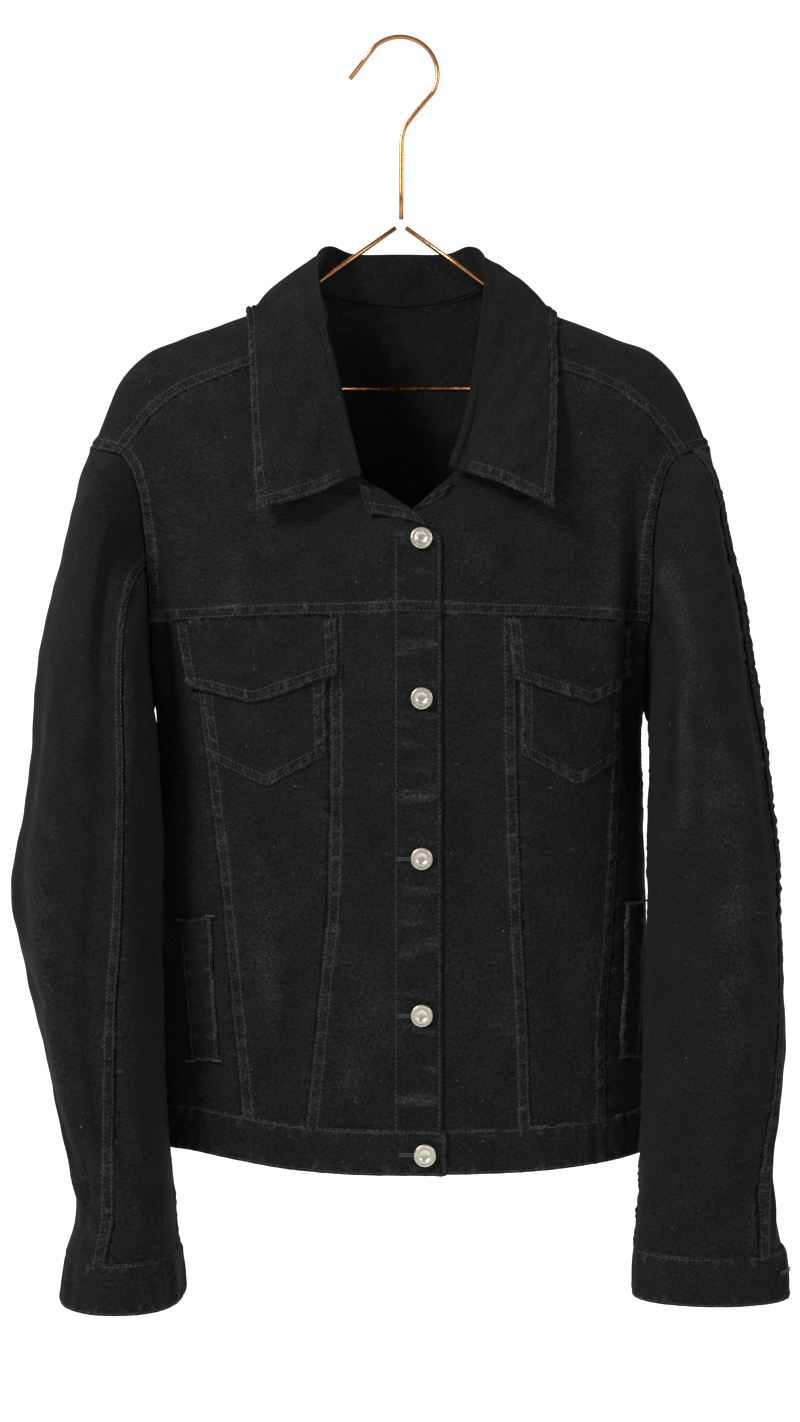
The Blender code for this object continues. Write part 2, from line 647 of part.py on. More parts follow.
def make_waistband():
    """One strip round the hem; its buttonhole end lies over its button end."""
    middle = np.array([BAND_BUTTON[1]])
    start = float(angle_at(np.array([UNDERLAP_EDGE]), middle)[0])
    end = 360.0 + float(angle_at(np.array([BAND_END]), middle)[0])
    first, last = BAND_LAP

    def surface(u, v):
        angle = start + (end - start) * u
        wrapped = (angle + 180.0) % 360.0 - 180.0
        top = along(HEM, "angle", "z", wrapped) - SEAM_GAP / 2
        z = top - BAND_HEIGHT * (1 - v)
        lift = BAND_OUT + BAND_LIFT * ramp(angle, first, last)
        return on_torso(wrapped, z, lift)

    sheet("waistband", surface, 40, 2, DOUBLE)


# ---------------------------------------------------------------- sleeves and cuffs

SLEEVE_COLUMNS = 20
SLEEVE_ROWS = 13


def armhole_point(side, angle):
    """Where the sleeve starts, by its angle from the outer side, positive to the front."""
    turn = np.abs(angle)
    on_yoke = np.clip(turn / CORNER_ANGLE, 0.0, 1.0) ** 2
    x = np.where(turn < CORNER_ANGLE, SHOULDER_X + (YOKE_CORNER_X - SHOULDER_X) * on_yoke,
                 along(ARMHOLE, "angle", "x", turn))
    z = np.where(turn < CORNER_ANGLE,
                 RIDGE["z"][-1] + (ARMHOLE["z"][0] - RIDGE["z"][-1]) * on_yoke,
                 along(ARMHOLE, "angle", "z", turn))
    y = np.where(angle > 0, -front_depth(x, z), back_depth(x, z))
    y = np.where((turn < 1e-6) | (turn > 179.999), 0.0, y)
    return side * x, y, z


def sleeve_face(side, angle, share):
    """The sleeve's visible face, from share 0 at the armhole to 1 at the cuff."""
    start_x, start_y, start_z = armhole_point(side, angle)
    start_z = start_z - SEAM_GAP
    start_x = start_x + side * ARMHOLE_GAP
    z = start_z + (CUFF_TOP + SEAM_GAP / 2 - start_z) * share
    table = SLEEVE[side]
    inner = along(table, "z", "inner", z)
    outer = along(table, "z", "outer", z)
    middle = along(table, "z", "middle", z)
    half = along(table, "z", "half", z)
    turn = np.radians(angle)
    power = 2 / SLEEVE_FULLNESS
    out = np.sign(np.cos(turn)) * np.abs(np.cos(turn)) ** power
    ahead = np.sign(np.sin(turn)) * np.abs(np.sin(turn)) ** power
    narrow = 1 - sleeve_fold(side, angle, z) / half
    full_x = side * ((inner + outer) / 2 + (outer - inner) / 2 * out * narrow)
    full_y = middle - half * ahead * narrow
    blend = 1 - np.exp(-(start_z - z) / SLEEVE_BLEND)
    x = start_x + (full_x - start_x) * blend
    y = start_y + (full_y - start_y) * blend
    points = np.stack([x, y, z], axis=-1)
    away = SLEEVE_MARGIN * blend * ramp(z, UNDERARM_Z + 0.03, UNDERARM_Z - 0.01)
    margin = ARMHOLE_GAP + away
    low = z < UNDERARM_Z + 0.03
    pushed = off_torso(points, margin)
    return np.where(low[:, None], pushed, points)


def sleeve_fold(side, angle, z):
    """Depth of the sleeve's long folds at a place."""
    folds = FOLDS[side]
    total = np.zeros_like(z)
    for centre, width, depth, top, bottom in zip(*folds.values()):
        away = (angle - centre + 180.0) % 360.0 - 180.0
        window = ramp(z, top, top - 0.06) * ramp(z, bottom, bottom + 0.06)
        total = total + depth * np.exp(-(away / width) ** 2) * window
    return total


def make_sleeve(name, side):
    """Two pieces: between the vent seam and the underarm seam, each way round."""
    gap_degrees = 0.45

    def vent(share):
        z = UNDERARM_Z + 0.17 + (CUFF_TOP - UNDERARM_Z - 0.17) * share
        return along(VENT_SEAM[side], "z", "angle", z)

    def upper(u, v):
        share = 1 - v
        first = UNDER_SEAM + gap_degrees
        angle = first + (vent(share) - gap_degrees - first) * u
        return sleeve_face(side, angle, share)

    def under(u, v):
        share = 1 - v
        last = UNDER_SEAM + 360.0 - gap_degrees
        first = vent(share) + gap_degrees
        angle = first + (last - first) * u
        return sleeve_face(side, (angle + 180.0) % 360.0 - 180.0, share)

    upper_columns = round((vent(np.zeros(1))[0] - UNDER_SEAM) / 360.0 * SLEEVE_COLUMNS)
    under_columns = SLEEVE_COLUMNS - upper_columns
    sheet("sleeve_upper_" + name, upper, upper_columns, SLEEVE_ROWS, SINGLE, outward=-side)
    sheet("sleeve_under_" + name, under, under_columns, SLEEVE_ROWS, SINGLE, outward=-side)


def cuff_face(side, angle, z):
    """The cuff's visible face."""
    table = SLEEVE[side]
    inner = along(table, "z", "inner", z)
    outer = along(table, "z", "outer", z)
    middle = along(table, "z", "middle", z)
    half = along(table, "z", "half", z)
    turn = np.radians(angle)
    power = 2 / SLEEVE_FULLNESS
    out = np.sign(np.cos(turn)) * np.abs(np.cos(turn)) ** power
    ahead = np.sign(np.sin(turn)) * np.abs(np.sin(turn)) ** power
    x = side * ((inner + outer) / 2 + (outer - inner) / 2 * out)
    return np.stack([x, middle - half * ahead, z], axis=-1)


def make_cuff(name, side):
    """A strip round the wrist, whose buttonhole end laps over its button end behind."""
    def surface(u, v):
        angle = CUFF_END + (360.0 + CUFF_LAP) * u
        z = CUFF_BOTTOM + (CUFF_TOP - SEAM_GAP / 2 - CUFF_BOTTOM) * v
        lift = CUFF_OUT + CUFF_LIFT * ramp(angle, CUFF_END + 46.0, CUFF_END + 21.0)
        place = cuff_face(side, angle, z)
        centre = cuff_face(side, angle + 180.0, z)
        outward = place - (place + centre) / 2
        outward /= np.linalg.norm(outward, axis=1, keepdims=True)
        return place + outward * lift[:, None]

    sheet("cuff_" + name, surface, 26, 2, DOUBLE, outward=-side)


# ---------------------------------------------------------------- collar

def collar_line(step, names):
    """One of the collar's long lines, at signed steps from the middle of the back."""
    points = []
    for name in names:
        left = along(COLLAR[1], "step", name, np.abs(step))
        right = along(COLLAR[-1], "step", name, np.abs(step))
        points.append(np.where(step < 0, right, left))
    return np.stack(points, axis=-1)


def neck_line(step):
    """The neck seam, just clear of the yoke's and the fronts' edges."""
    turn = np.clip(np.abs(step) / SIDE_NECK_STEP, 0.0, 1.0)
    back_x = NECK_HALF * np.sin(turn * np.pi / 2) * np.sign(step)
    back = np.stack([back_x, back_neck_depth(back_x), back_top(back_x) + 0.0010], axis=-1)
    flat = collar_line(step, ("neck_x", "neck_z"))
    x = np.sign(step) * np.maximum(np.abs(flat[:, 0]), 0.001)
    height = np.minimum(flat[:, 1], SIDE_NECK_Z - 0.004)
    front = on_front(x, height, 0.0020)
    blend = ramp(np.abs(step), SIDE_NECK_STEP - 0.01, SIDE_NECK_STEP + 0.10)[:, None]
    return back + (front - back) * blend


def off_shoulders(points, margin):
    """Leaf points lifted to a margin over the shoulders, the fronts and the back."""
    for _ in range(5):
        x = points[:, 0]
        y = points[:, 1]
        z = points[:, 2]
        step = 0.0005
        level = shoulder_level(x, y, z)
        slope = np.stack([shoulder_level(x + step, y, z) - shoulder_level(x - step, y, z),
                          shoulder_level(x, y + step, z) - shoulder_level(x, y - step, z),
                          shoulder_level(x, y, z + step) - shoulder_level(x, y, z - step)],
                         axis=-1) / (2 * step)
        steep = np.linalg.norm(slope, axis=1, keepdims=True)
        push = np.maximum(margin - level / steep[:, 0], 0.0)
        points = points + slope / steep * np.minimum(push, 0.01)[:, None]
    return points


def shoulder_level(x, y, z):
    """Positive outside the torso, nought on its face."""
    front = front_depth(x, z)
    back = back_depth(x, z)
    above_front = np.maximum(z - along(RIDGE, "x", "z", np.abs(x)), 0.0)
    above_back = np.maximum(z - back_top(x), 0.0)
    ahead = np.sqrt(y ** 2 + (2.5 * above_front) ** 2) - front
    behind = np.sqrt(y ** 2 + (2.5 * above_back) ** 2) - back
    return np.where(y < 0, ahead, behind)


def collar_surface(u, v):
    """The collar: up the stand, over the roll and down the leaf."""
    step = 2 * u - 1
    neck = neck_line(step)
    roll = collar_line(step, ("roll_x", "roll_y", "roll_z"))
    edge = collar_line(step, ("edge_x", "edge_y", "edge_z"))
    outward = edge - neck
    outward /= np.linalg.norm(outward, axis=1, keepdims=True)
    rise = roll - (neck + edge) / 2
    rise -= outward * np.sum(rise * outward, axis=1, keepdims=True)
    rise /= np.linalg.norm(rise, axis=1, keepdims=True)
    centre = roll - rise * COLLAR_FOLD
    fold_start = centre - outward * COLLAR_FOLD
    fold_end = centre + outward * COLLAR_FOLD
    stand_share = 2 / COLLAR_ROWS
    fold_share = 7 / COLLAR_ROWS
    on_stand = v < stand_share
    on_fold = (v >= stand_share) & (v < fold_share)
    t = (v / stand_share)[:, None]
    stand = neck + (fold_start - neck) * t
    turn = ((v - stand_share) / (fold_share - stand_share) * np.pi)[:, None]
    fold = centre - outward * COLLAR_FOLD * np.cos(turn) + rise * COLLAR_FOLD * np.sin(turn)
    t = ((v - fold_share) / (1 - fold_share))[:, None]
    leaf = fold_end + (edge - fold_end) * t + rise * 0.006 * np.sin(t * np.pi)
    leaf = off_shoulders(leaf, COLLAR_MARGIN)
    return np.where(on_stand[:, None], stand, np.where(on_fold[:, None], fold, leaf))


def make_collar():
    """One folded sheet round the neck."""
    sheet("collar", collar_surface, 34, COLLAR_ROWS, DOUBLE)


# ---------------------------------------------------------------- pockets and corners

def outline_surface(outline, out):
    """A patch with a pointed lower edge; the outline runs inner top, round, outer top."""
    x = outline["x"]
    z = outline["z"]
    lower = {"x": x[1:-1], "z": z[1:-1]}

    def surface(u, v):
        low = polyline(lower, u)
        top_x = x[0] + (x[-1] - x[0]) * u
        top_z = z[0] + (z[-1] - z[0]) * u
        flat_x = low[:, 0] + (top_x - low[:, 0]) * v
        flat_z = low[:, 1] + (top_z - low[:, 1]) * v
        return on_front(flat_x, flat_z, out)
    return surface


def make_pockets(name, side):
    """Chest pocket, its flap over it, and the hand pocket's welt."""
    pocket_out = SINGLE + LAYER_GAP
    flap_out = pocket_out + DOUBLE + LAYER_GAP
    sheet("pocket_" + name, outline_surface(POCKET[side], pocket_out), 6, 6, SINGLE,
          outward=side)
    sheet("pocket_flap_" + name, outline_surface(FLAP[side], flap_out), 8, 4, DOUBLE,
          outward=side)
    welt_out = DOUBLE + LAYER_GAP
    sheet("welt_" + name, outline_surface(WELT[side], welt_out), 2, 6, DOUBLE, outward=side)


def make_corners():
    """The top corners of the fronts, turned out over them."""
    for name, side in SIDES.items():
        outline = CORNER[side]
        x = outline["x"]
        z = outline["z"]
        out = (OVERLAP_LIFT if side < 0 else 0.0) + SINGLE + LAYER_GAP

        def surface(u, v, x=x, z=z, out=out):
            low = polyline({"x": x[1:4], "z": z[1:4]}, u)
            high = polyline({"x": x[[0, 4, 3]], "z": z[[0, 4, 3]]}, u * 0.92)
            flat = low + (high - low) * v[:, None]
            return on_front(flat[:, 0], flat[:, 1], out)

        sheet("turned_corner_" + name, surface, 5, 2, SINGLE, outward=-side)


# ---------------------------------------------------------------- buttons

def button_profile():
    """The button's outer side, top to bottom: dished face, rim and flat back."""
    radius = BUTTON_RADIUS
    top = BUTTON_THICK
    return ((0.0, top - 0.0007), (radius * 0.42, top - 0.0007), (radius * 0.52, top),
            (radius * 0.86, top), (radius, top - 0.0006), (radius * 0.97, 0.0005),
            (radius * 0.88, 0.0), (0.0, 0.0))


def make_button(name, place, facing):
    """A turned metal shank button, its back against the cloth."""
    data = bpy.data.meshes.new(name)
    profile = button_profile()
    points = [(x, 0.0, z) for x, z in profile]
    edges = [(i, i + 1) for i in range(len(points) - 1)]
    data.from_pydata(points, edges, [])
    item = add_object(name, data, "button")
    turned = item.modifiers.new("Turned", "SCREW")
    turned.axis = "Z"
    turned.angle = math.tau
    turned.steps = BUTTON_SIDES
    turned.render_steps = BUTTON_SIDES
    turned.use_merge_vertices = True
    turned.merge_threshold = 0.00002
    turned.use_normal_calculate = False
    item.location = place
    item.rotation_mode = "QUATERNION"
    item.rotation_quaternion = Vector(facing).to_track_quat("Z", "Y")
    return item


def front_frame(x, z, out):
    """A place on the front's face, moved out, and the face's outward direction."""
    here = on_front(np.array([x]), np.array([z]), out)[0]
    further = on_front(np.array([x]), np.array([z]), out + 0.001)[0]
    return here, Vector(further - here).normalized()


def make_buttons():
    """Five down the front and one on each cuff."""
    on_cloth = 0.0008
    for number, z in enumerate(BUTTON_Z, start=1):
        place, facing = front_frame(BUTTON_X, z, OVERLAP_LIFT + on_cloth)
        make_button("button_%d" % number, place, facing)
    place, facing = front_frame(*BAND_BUTTON, BAND_OUT + BAND_LIFT + on_cloth)
    make_button("button_%d" % (len(BUTTON_Z) + 1), place, facing)
    for name, side in SIDES.items():
        angle = np.array([CUFF_END + CUFF_BUTTON])
        z = np.array([(CUFF_TOP + CUFF_BOTTOM) / 2])
        here = cuff_face(side, angle, z)[0]
        before = cuff_face(side, angle - 2.0, z)[0]
        after = cuff_face(side, angle + 2.0, z)[0]
        tangent = Vector(after - before)
        facing = tangent.cross(Vector((0.0, 0.0, -side))).normalized()
        place = Vector(here) + facing * (CUFF_OUT + CUFF_LIFT + on_cloth)
        make_button("cuff_button_" + name, place, facing)


def main():
    """Build every piece."""
    make_hanger()
    make_yoke()
    for name, side in SIDES.items():
        make_upper_front(name, side)
        make_lower_fronts(name, side)
        make_sleeve(name, side)
        make_cuff(name, side)
        make_pockets(name, side)
    make_back()
    make_waistband()
    make_collar()
    make_corners()
    make_buttons()


empty_scene()
COLLECTION = bpy.data.collections.new("denim_jacket_on_hanger")
bpy.context.scene.collection.children.link(COLLECTION)
MATERIALS = make_materials()
main()
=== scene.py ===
"""The looks of a black denim jacket on a copper wire hanger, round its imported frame.

Metres, +Z up, the jacket facing -Y; "left" and "right" are the wearer's. The cloth is
made of thin shells on the same surfaces as the frame's pieces, with creases, felled and
turned seams, puckers, stitches, buttonholes and bar tacks. The sleeves' inner sides lie a
little nearer the body than the frame's do.
"""

import math

import bpy
import numpy as np
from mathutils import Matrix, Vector


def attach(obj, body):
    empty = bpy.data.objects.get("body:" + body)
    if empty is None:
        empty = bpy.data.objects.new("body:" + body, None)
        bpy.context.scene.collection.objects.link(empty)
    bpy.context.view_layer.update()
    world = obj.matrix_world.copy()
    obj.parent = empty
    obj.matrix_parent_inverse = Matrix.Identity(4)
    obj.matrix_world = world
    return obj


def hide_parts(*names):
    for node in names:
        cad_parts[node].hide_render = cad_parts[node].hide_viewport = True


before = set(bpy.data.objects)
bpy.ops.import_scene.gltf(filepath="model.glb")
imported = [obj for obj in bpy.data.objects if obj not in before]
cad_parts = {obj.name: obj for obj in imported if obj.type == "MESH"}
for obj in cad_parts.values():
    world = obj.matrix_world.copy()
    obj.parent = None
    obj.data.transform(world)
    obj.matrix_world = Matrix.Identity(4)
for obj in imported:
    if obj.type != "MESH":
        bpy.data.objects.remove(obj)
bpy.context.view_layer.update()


# ---------------------------------------------------------------- sizes of the jacket

def rows(names, *lines):
    """A table as a dictionary with an array for each named column."""
    return dict(zip(names.split(), np.array(lines, dtype=float).T))


# Cloth.
SINGLE = 0.0012            # one layer of denim
DOUBLE = 0.0024            # turned and stitched pieces: collar, flaps, cuffs, waistband
SEAM_GAP = 0.0004          # between two pieces that are sewn edge to edge
ARMHOLE_GAP = 0.0012       # where a sleeve's edge turns away from the body's
LAYER_GAP = 0.0009         # between a patch and the panel that it lies on

# Torso: horizontal sections are superellipses about the hanger's plane.
FULLNESS = 2.6
TORSO = rows("z half_width front back",
             (-0.19, 0.330, 0.055, 0.046),
             (-0.26, 0.300, 0.061, 0.052),
             (-0.33, 0.262, 0.065, 0.056),
             (-0.40, 0.228, 0.071, 0.058),
             (-0.46, 0.205, 0.075, 0.059),
             (-0.52, 0.190, 0.078, 0.060),
             (-0.60, 0.1885, 0.080, 0.061),
             (-0.68, 0.191, 0.082, 0.062),
             (-0.78, 0.196, 0.085, 0.064),
             (-0.87, 0.200, 0.089, 0.066))
FALL_LENGTH = 0.07         # how far below the shoulder ridge the torso is nearly full
FALL_POWER = 0.6

# Shoulders: the ridge lies on the hanger's arms and drops past their ends.
RIDGE = rows("x z",
             (0.072, -0.1905), (0.090, -0.2010), (0.114, -0.2134), (0.140, -0.2237),
             (0.170, -0.2349), (0.198, -0.2472), (0.211, -0.2595), (0.225, -0.2830),
             (0.2405, -0.3200))
NECK_HALF = 0.072
BACK_NECK_DEPTH = 0.035
BACK_NECK_Z = -0.202
SIDE_NECK_Z = -0.1905
SHOULDER_X = 0.2405
YOKE_CORNER_X = 0.2117
FRONT_YOKE = rows("x z",
                  (0.072, -0.2500), (0.095, -0.2570), (0.114, -0.2630), (0.135, -0.2705),
                  (0.160, -0.2800), (0.180, -0.2925), (0.196, -0.3090), (0.2117, -0.3300))
BACK_YOKE_Z = -0.330

# Armhole, by the angle round the sleeve from its outer side, past the yoke's corner.
CORNER_ANGLE = 60.0
ARMHOLE = rows("angle x z",
               (60, 0.2117, -0.3300), (75, 0.2030, -0.3420), (90, 0.1965, -0.3620),
               (110, 0.1925, -0.3920), (130, 0.1905, -0.4300), (150, 0.1895, -0.4700),
               (165, 0.1892, -0.5000), (180, 0.1900, -0.5200))
UNDERARM_Z = -0.520

# Front seams.
CHEST = rows("x z", (0.0, -0.4520), (0.10, -0.4545), (0.20, -0.4580))
OVERLAP_EDGE = 0.0302      # the buttonhole side's edge
UNDERLAP_EDGE = -0.0030    # the button side's edge, behind it
OVERLAP_LIFT = 0.0032
# The neckline's last points, down to the front edge, as (x, z) on each side.
FRONT_CORNER = {-1: ((0.0100, -0.3760), (0.0252, -0.3890), (OVERLAP_EDGE, -0.3970)),
                1: ((0.0120, -0.3720), (UNDERLAP_EDGE, -0.3820))}
INNER_SEAM = {
    -1: rows("z x", (-0.452, -0.0525), (-0.61, -0.0520), (-0.68, -0.0544),
             (-0.73, -0.0596), (-0.78, -0.0640), (-0.84, -0.0705)),
    1: rows("z x", (-0.452, 0.0855), (-0.61, 0.0876), (-0.70, 0.0910),
            (-0.77, 0.0944), (-0.84, 0.0965))}
OUTER_SEAM = {
    -1: rows("z x", (-0.452, -0.1580), (-0.52, -0.1500), (-0.61, -0.1386),
             (-0.70, -0.1282), (-0.80, -0.1186), (-0.84, -0.1150)),
    1: rows("z x", (-0.452, 0.1720), (-0.52, 0.1695), (-0.61, 0.1645),
            (-0.69, 0.1590), (-0.74, 0.1545), (-0.84, 0.1525))}

# Hem: the top of the waistband, by the angle round the body from the front's middle.
BAND_HEIGHT = 0.0325
HEM = rows("angle z",
           (-180, -0.8260), (-90, -0.8200), (-62, -0.8175), (-45, -0.8170), (-30, -0.8215),
           (-15, -0.8270), (0, -0.8290), (20, -0.8285), (45, -0.8250), (70, -0.8215),
           (90, -0.8210), (180, -0.8260))
BAND_END = 0.0335
BAND_OUT = 0.0008          # the band's face outside the panels' face
BAND_LIFT = 0.0038         # of its buttonhole end over its button end
BAND_LAP = (345.0, 356.5)  # degrees round the hem over which it rises

# Sleeves: the inner and outer side, the middle and half of the depth, by height.
SLEEVE = {
    -1: rows("z inner outer middle half",
             (-0.32, 0.1905, 0.2405, -0.014, 0.050), (-0.36, 0.1895, 0.2466, -0.020, 0.060),
             (-0.41, 0.1877, 0.2554, -0.027, 0.065), (-0.455, 0.1869, 0.2625, -0.034, 0.067),
             (-0.516, 0.1847, 0.2717, -0.044, 0.066), (-0.59, 0.1788, 0.2790, -0.056, 0.061),
             (-0.65, 0.1766, 0.2848, -0.067, 0.057), (-0.72, 0.1753, 0.2727, -0.078, 0.052),
             (-0.807, 0.1706, 0.2498, -0.088, 0.048), (-0.855, 0.1659, 0.2371, -0.090, 0.046),
             (-0.88, 0.1633, 0.2331, -0.090, 0.045), (-0.914, 0.1612, 0.2409, -0.090, 0.044),
             (-0.95, 0.1559, 0.2462, -0.090, 0.0445)),
    1: rows("z inner outer middle half",
            (-0.32, 0.1960, 0.2405, -0.010, 0.046), (-0.362, 0.1950, 0.2458, -0.017, 0.056),
            (-0.409, 0.1955, 0.2524, -0.024, 0.062), (-0.455, 0.1960, 0.2587, -0.031, 0.064),
            (-0.516, 0.1905, 0.2665, -0.042, 0.064), (-0.59, 0.1875, 0.2738, -0.054, 0.060),
            (-0.663, 0.1843, 0.2797, -0.066, 0.056), (-0.735, 0.1805, 0.2813, -0.077, 0.050),
            (-0.807, 0.1775, 0.2775, -0.085, 0.044), (-0.865, 0.1755, 0.2712, -0.088, 0.038),
            (-0.90, 0.1724, 0.2760, -0.088, 0.034), (-0.914, 0.1715, 0.2790, -0.088, 0.031),
            (-0.95, 0.1686, 0.2833, -0.088, 0.029))}
SLEEVE_FULLNESS = 2.2
SLEEVE_BLEND = 0.016       # how far from the armhole a sleeve takes its own section
SLEEVE_MARGIN = 0.0035     # kept between a sleeve and the torso's side
# The vent seam runs from the armhole to the cuff's opening; the other is underneath.
VENT_SEAM = {
    -1: rows("z angle", (-0.32, 122), (-0.52, 126), (-0.65, 124), (-0.72, 116),
             (-0.80, 104), (-0.85, 92), (-0.92, 82)),
    1: rows("z angle", (-0.32, 50), (-0.45, 40), (-0.65, 32), (-0.80, 42), (-0.92, 58))}
UNDER_SEAM = -176.0
# The sleeves' largest folds, along the arm.
FOLDS = {
    -1: rows("angle width depth top bottom",
             (108, 13, 0.0050, -0.36, -0.88), (28, 18, 0.0030, -0.50, -0.86),
             (-60, 20, 0.0045, -0.40, -0.80), (-130, 16, 0.0050, -0.55, -0.90)),
    1: rows("angle width depth top bottom",
            (146, 12, 0.0090, -0.33, -0.62), (75, 20, 0.0030, -0.45, -0.86),
            (-55, 20, 0.0045, -0.42, -0.82), (-125, 16, 0.0050, -0.55, -0.88))}
CUFF_TOP = -0.9125
CUFF_BOTTOM = -0.9485
CUFF_END = -60.0           # where the cuff's buttonhole end is, behind the outer side
CUFF_LAP = 14.0            # degrees of the cuff's overlap
CUFF_BUTTON = 18.0         # degrees from the buttonhole end to the button
CUFF_OUT = 0.0006          # the cuff's face outside the sleeve's face
CUFF_LIFT = 0.0036

# Collar, by the position round the neck from the middle of the back to the front.
COLLAR_FOLD = 0.0034
COLLAR_ROWS = 12           # parts of its depth: two of stand, five of roll, five of leaf
SIDE_NECK_STEP = 0.36
COLLAR = {
    -1: rows("step neck_x neck_z roll_x roll_y roll_z edge_x edge_y edge_z",
             (0.00, 0.000, -0.202, 0.000, 0.030, -0.162, 0.000, 0.068, -0.243),
             (0.20, 0.050, -0.196, -0.036, 0.025, -0.163, -0.060, 0.060, -0.240),
             (0.38, 0.072, -0.1905, -0.062, 0.000, -0.164, -0.1150, 0.006, -0.2115),
             (0.50, 0.072, -0.215, -0.0655, -0.020, -0.192, -0.1150, -0.034, -0.240),
             (0.62, 0.072, -0.245, -0.0610, -0.036, -0.226, -0.1125, -0.052, -0.275),
             (0.75, 0.063, -0.280, -0.0520, -0.051, -0.262, -0.1100, -0.065, -0.312),
             (0.88, 0.050, -0.315, -0.0405, -0.064, -0.308, -0.1080, -0.074, -0.348),
             (1.00, 0.036, -0.345, -0.0300, -0.072, -0.350, -0.1056, -0.082, -0.375)),
    1: rows("step neck_x neck_z roll_x roll_y roll_z edge_x edge_y edge_z",
            (0.00, 0.000, -0.202, 0.000, 0.030, -0.162, 0.000, 0.068, -0.243),
            (0.20, 0.050, -0.196, 0.036, 0.025, -0.163, 0.060, 0.060, -0.240),
            (0.38, 0.072, -0.1905, 0.062, 0.000, -0.164, 0.1170, 0.006, -0.2115),
            (0.50, 0.072, -0.215, 0.0685, -0.020, -0.190, 0.1195, -0.034, -0.240),
            (0.62, 0.072, -0.245, 0.0655, -0.036, -0.225, 0.1185, -0.052, -0.275),
            (0.75, 0.065, -0.280, 0.0600, -0.051, -0.262, 0.1165, -0.065, -0.312),
            (0.88, 0.054, -0.316, 0.0510, -0.064, -0.306, 0.1145, -0.074, -0.348),
            (1.00, 0.0410, -0.346, 0.0385, -0.072, -0.342, 0.1122, -0.082, -0.374))}
COLLAR_MARGIN = 0.0048     # of the leaf's visible face over the shoulders

# Pockets, as outlines from their inner top corner round to the outer one.
FLAP = {
    -1: rows("x z", (-0.0469, -0.4560), (-0.0451, -0.4971), (-0.1073, -0.5182),
             (-0.1569, -0.5057), (-0.1655, -0.4595)),
    1: rows("x z", (0.0795, -0.4560), (0.0835, -0.4999), (0.1414, -0.5183),
            (0.1780, -0.4988), (0.1772, -0.4595))}
POCKET = {
    -1: rows("x z", (-0.0555, -0.4640), (-0.0545, -0.5570), (-0.0987, -0.5800),
             (-0.1410, -0.5610), (-0.1520, -0.4640)),
    1: rows("x z", (0.0885, -0.4640), (0.0890, -0.5560), (0.1320, -0.5790),
            (0.1650, -0.5600), (0.1690, -0.4640))}
WELT = {
    -1: rows("x z", (-0.1410, -0.6760), (-0.1345, -0.7820), (-0.1550, -0.7840),
             (-0.1620, -0.6800)),
    1: rows("x z", (0.1690, -0.6680), (0.1640, -0.7820), (0.1790, -0.7840),
            (0.1840, -0.6680))}

# Turned-out corners at the top of the fronts.
CORNER = {
    -1: rows("x z", (-0.0300, -0.3560), (-0.0245, -0.3780), (0.0022, -0.3823),
             (0.0222, -0.3885), (0.0060, -0.3740)),
    1: rows("x z", (0.0390, -0.3540), (0.0330, -0.3640), (0.0220, -0.3712),
            (0.0118, -0.3745), (0.0200, -0.3660))}

# Buttons.
BUTTON_RADIUS = 0.0081
BUTTON_THICK = 0.0026
BUTTON_X = 0.0158
BUTTON_Z = (-0.397, -0.515, -0.632, -0.746)
BAND_BUTTON = (0.0180, -0.8465)

# Hanger.
WIRE = 0.0018              # radius
HOOK_CENTRE = (0.0, -0.0275)
HOOK_RADIUS = 0.0293
HOOK_ARC = (-30.0, 132.0)
HOOK_TIP = (-0.0390, -0.0310)
STEM = ((0.0172, -0.0515), (0.0094, -0.0608), (0.0031, -0.0694), (0.0012, -0.0788),
        (0.0010, -0.1090), (0.0010, -0.1405))
ARM_START = 0.0046
ARM_START_Z = -0.1472
ARM_STAGGER = 0.0013       # by which the right arm starts nearer the middle
ARM_NECK = (0.066, -0.1912)
ARM_BELOW_RIDGE = 0.0046
ARM_END = 0.196
BAR_Z = -0.2733
BEND_ARC = (62, -66)       # degrees of the bend from an arm into the bar
BEND_INSET = 0.45          # of the bend's radius, how far its centre lies inside ARM_END

SIDES = {"right": -1, "left": 1}


# ---------------------------------------------------------------- curves and surfaces

def along(table, key, name, value):
    """A column read off the smooth curve through its rows, at a value of another column."""
    order = np.argsort(table[key])
    knots = table[key][order]
    heights = table[name][order]
    slopes = np.gradient(heights, knots)
    value = np.clip(value, knots[0], knots[-1])
    i = np.clip(np.searchsorted(knots, value, side="right") - 1, 0, len(knots) - 2)
    span = knots[i + 1] - knots[i]
    t = (value - knots[i]) / span
    start = (1 + 2 * t) * (1 - t) ** 2 * heights[i] + t * (1 - t) ** 2 * span * slopes[i]
    end = t * t * (3 - 2 * t) * heights[i + 1] + t * t * (t - 1) * span * slopes[i + 1]
    return start + end


def ramp(value, start, end):
    """A smooth step from 0 at start to 1 at end."""
    t = np.clip((value - start) / (end - start), 0.0, 1.0)
    return t * t * (3 - 2 * t)


def fall(below):
    """How full the torso is at a distance below the shoulder ridge."""
    return (1 - np.exp(-np.maximum(below, 0.0) / FALL_LENGTH)) ** FALL_POWER


def round_part(x, z):
    """The superellipse's share of its depth at x."""
    ratio = np.clip(np.abs(x) / along(TORSO, "z", "half_width", z), 0.0, 1.0)
    return (1 - ratio ** FULLNESS) ** (1 / FULLNESS)


def front_depth(x, z):
    """Distance of the front's visible face from the hanger's plane."""
    below = along(RIDGE, "x", "z", np.abs(x)) - z
    return along(TORSO, "z", "front", z) * round_part(x, z) * fall(below)


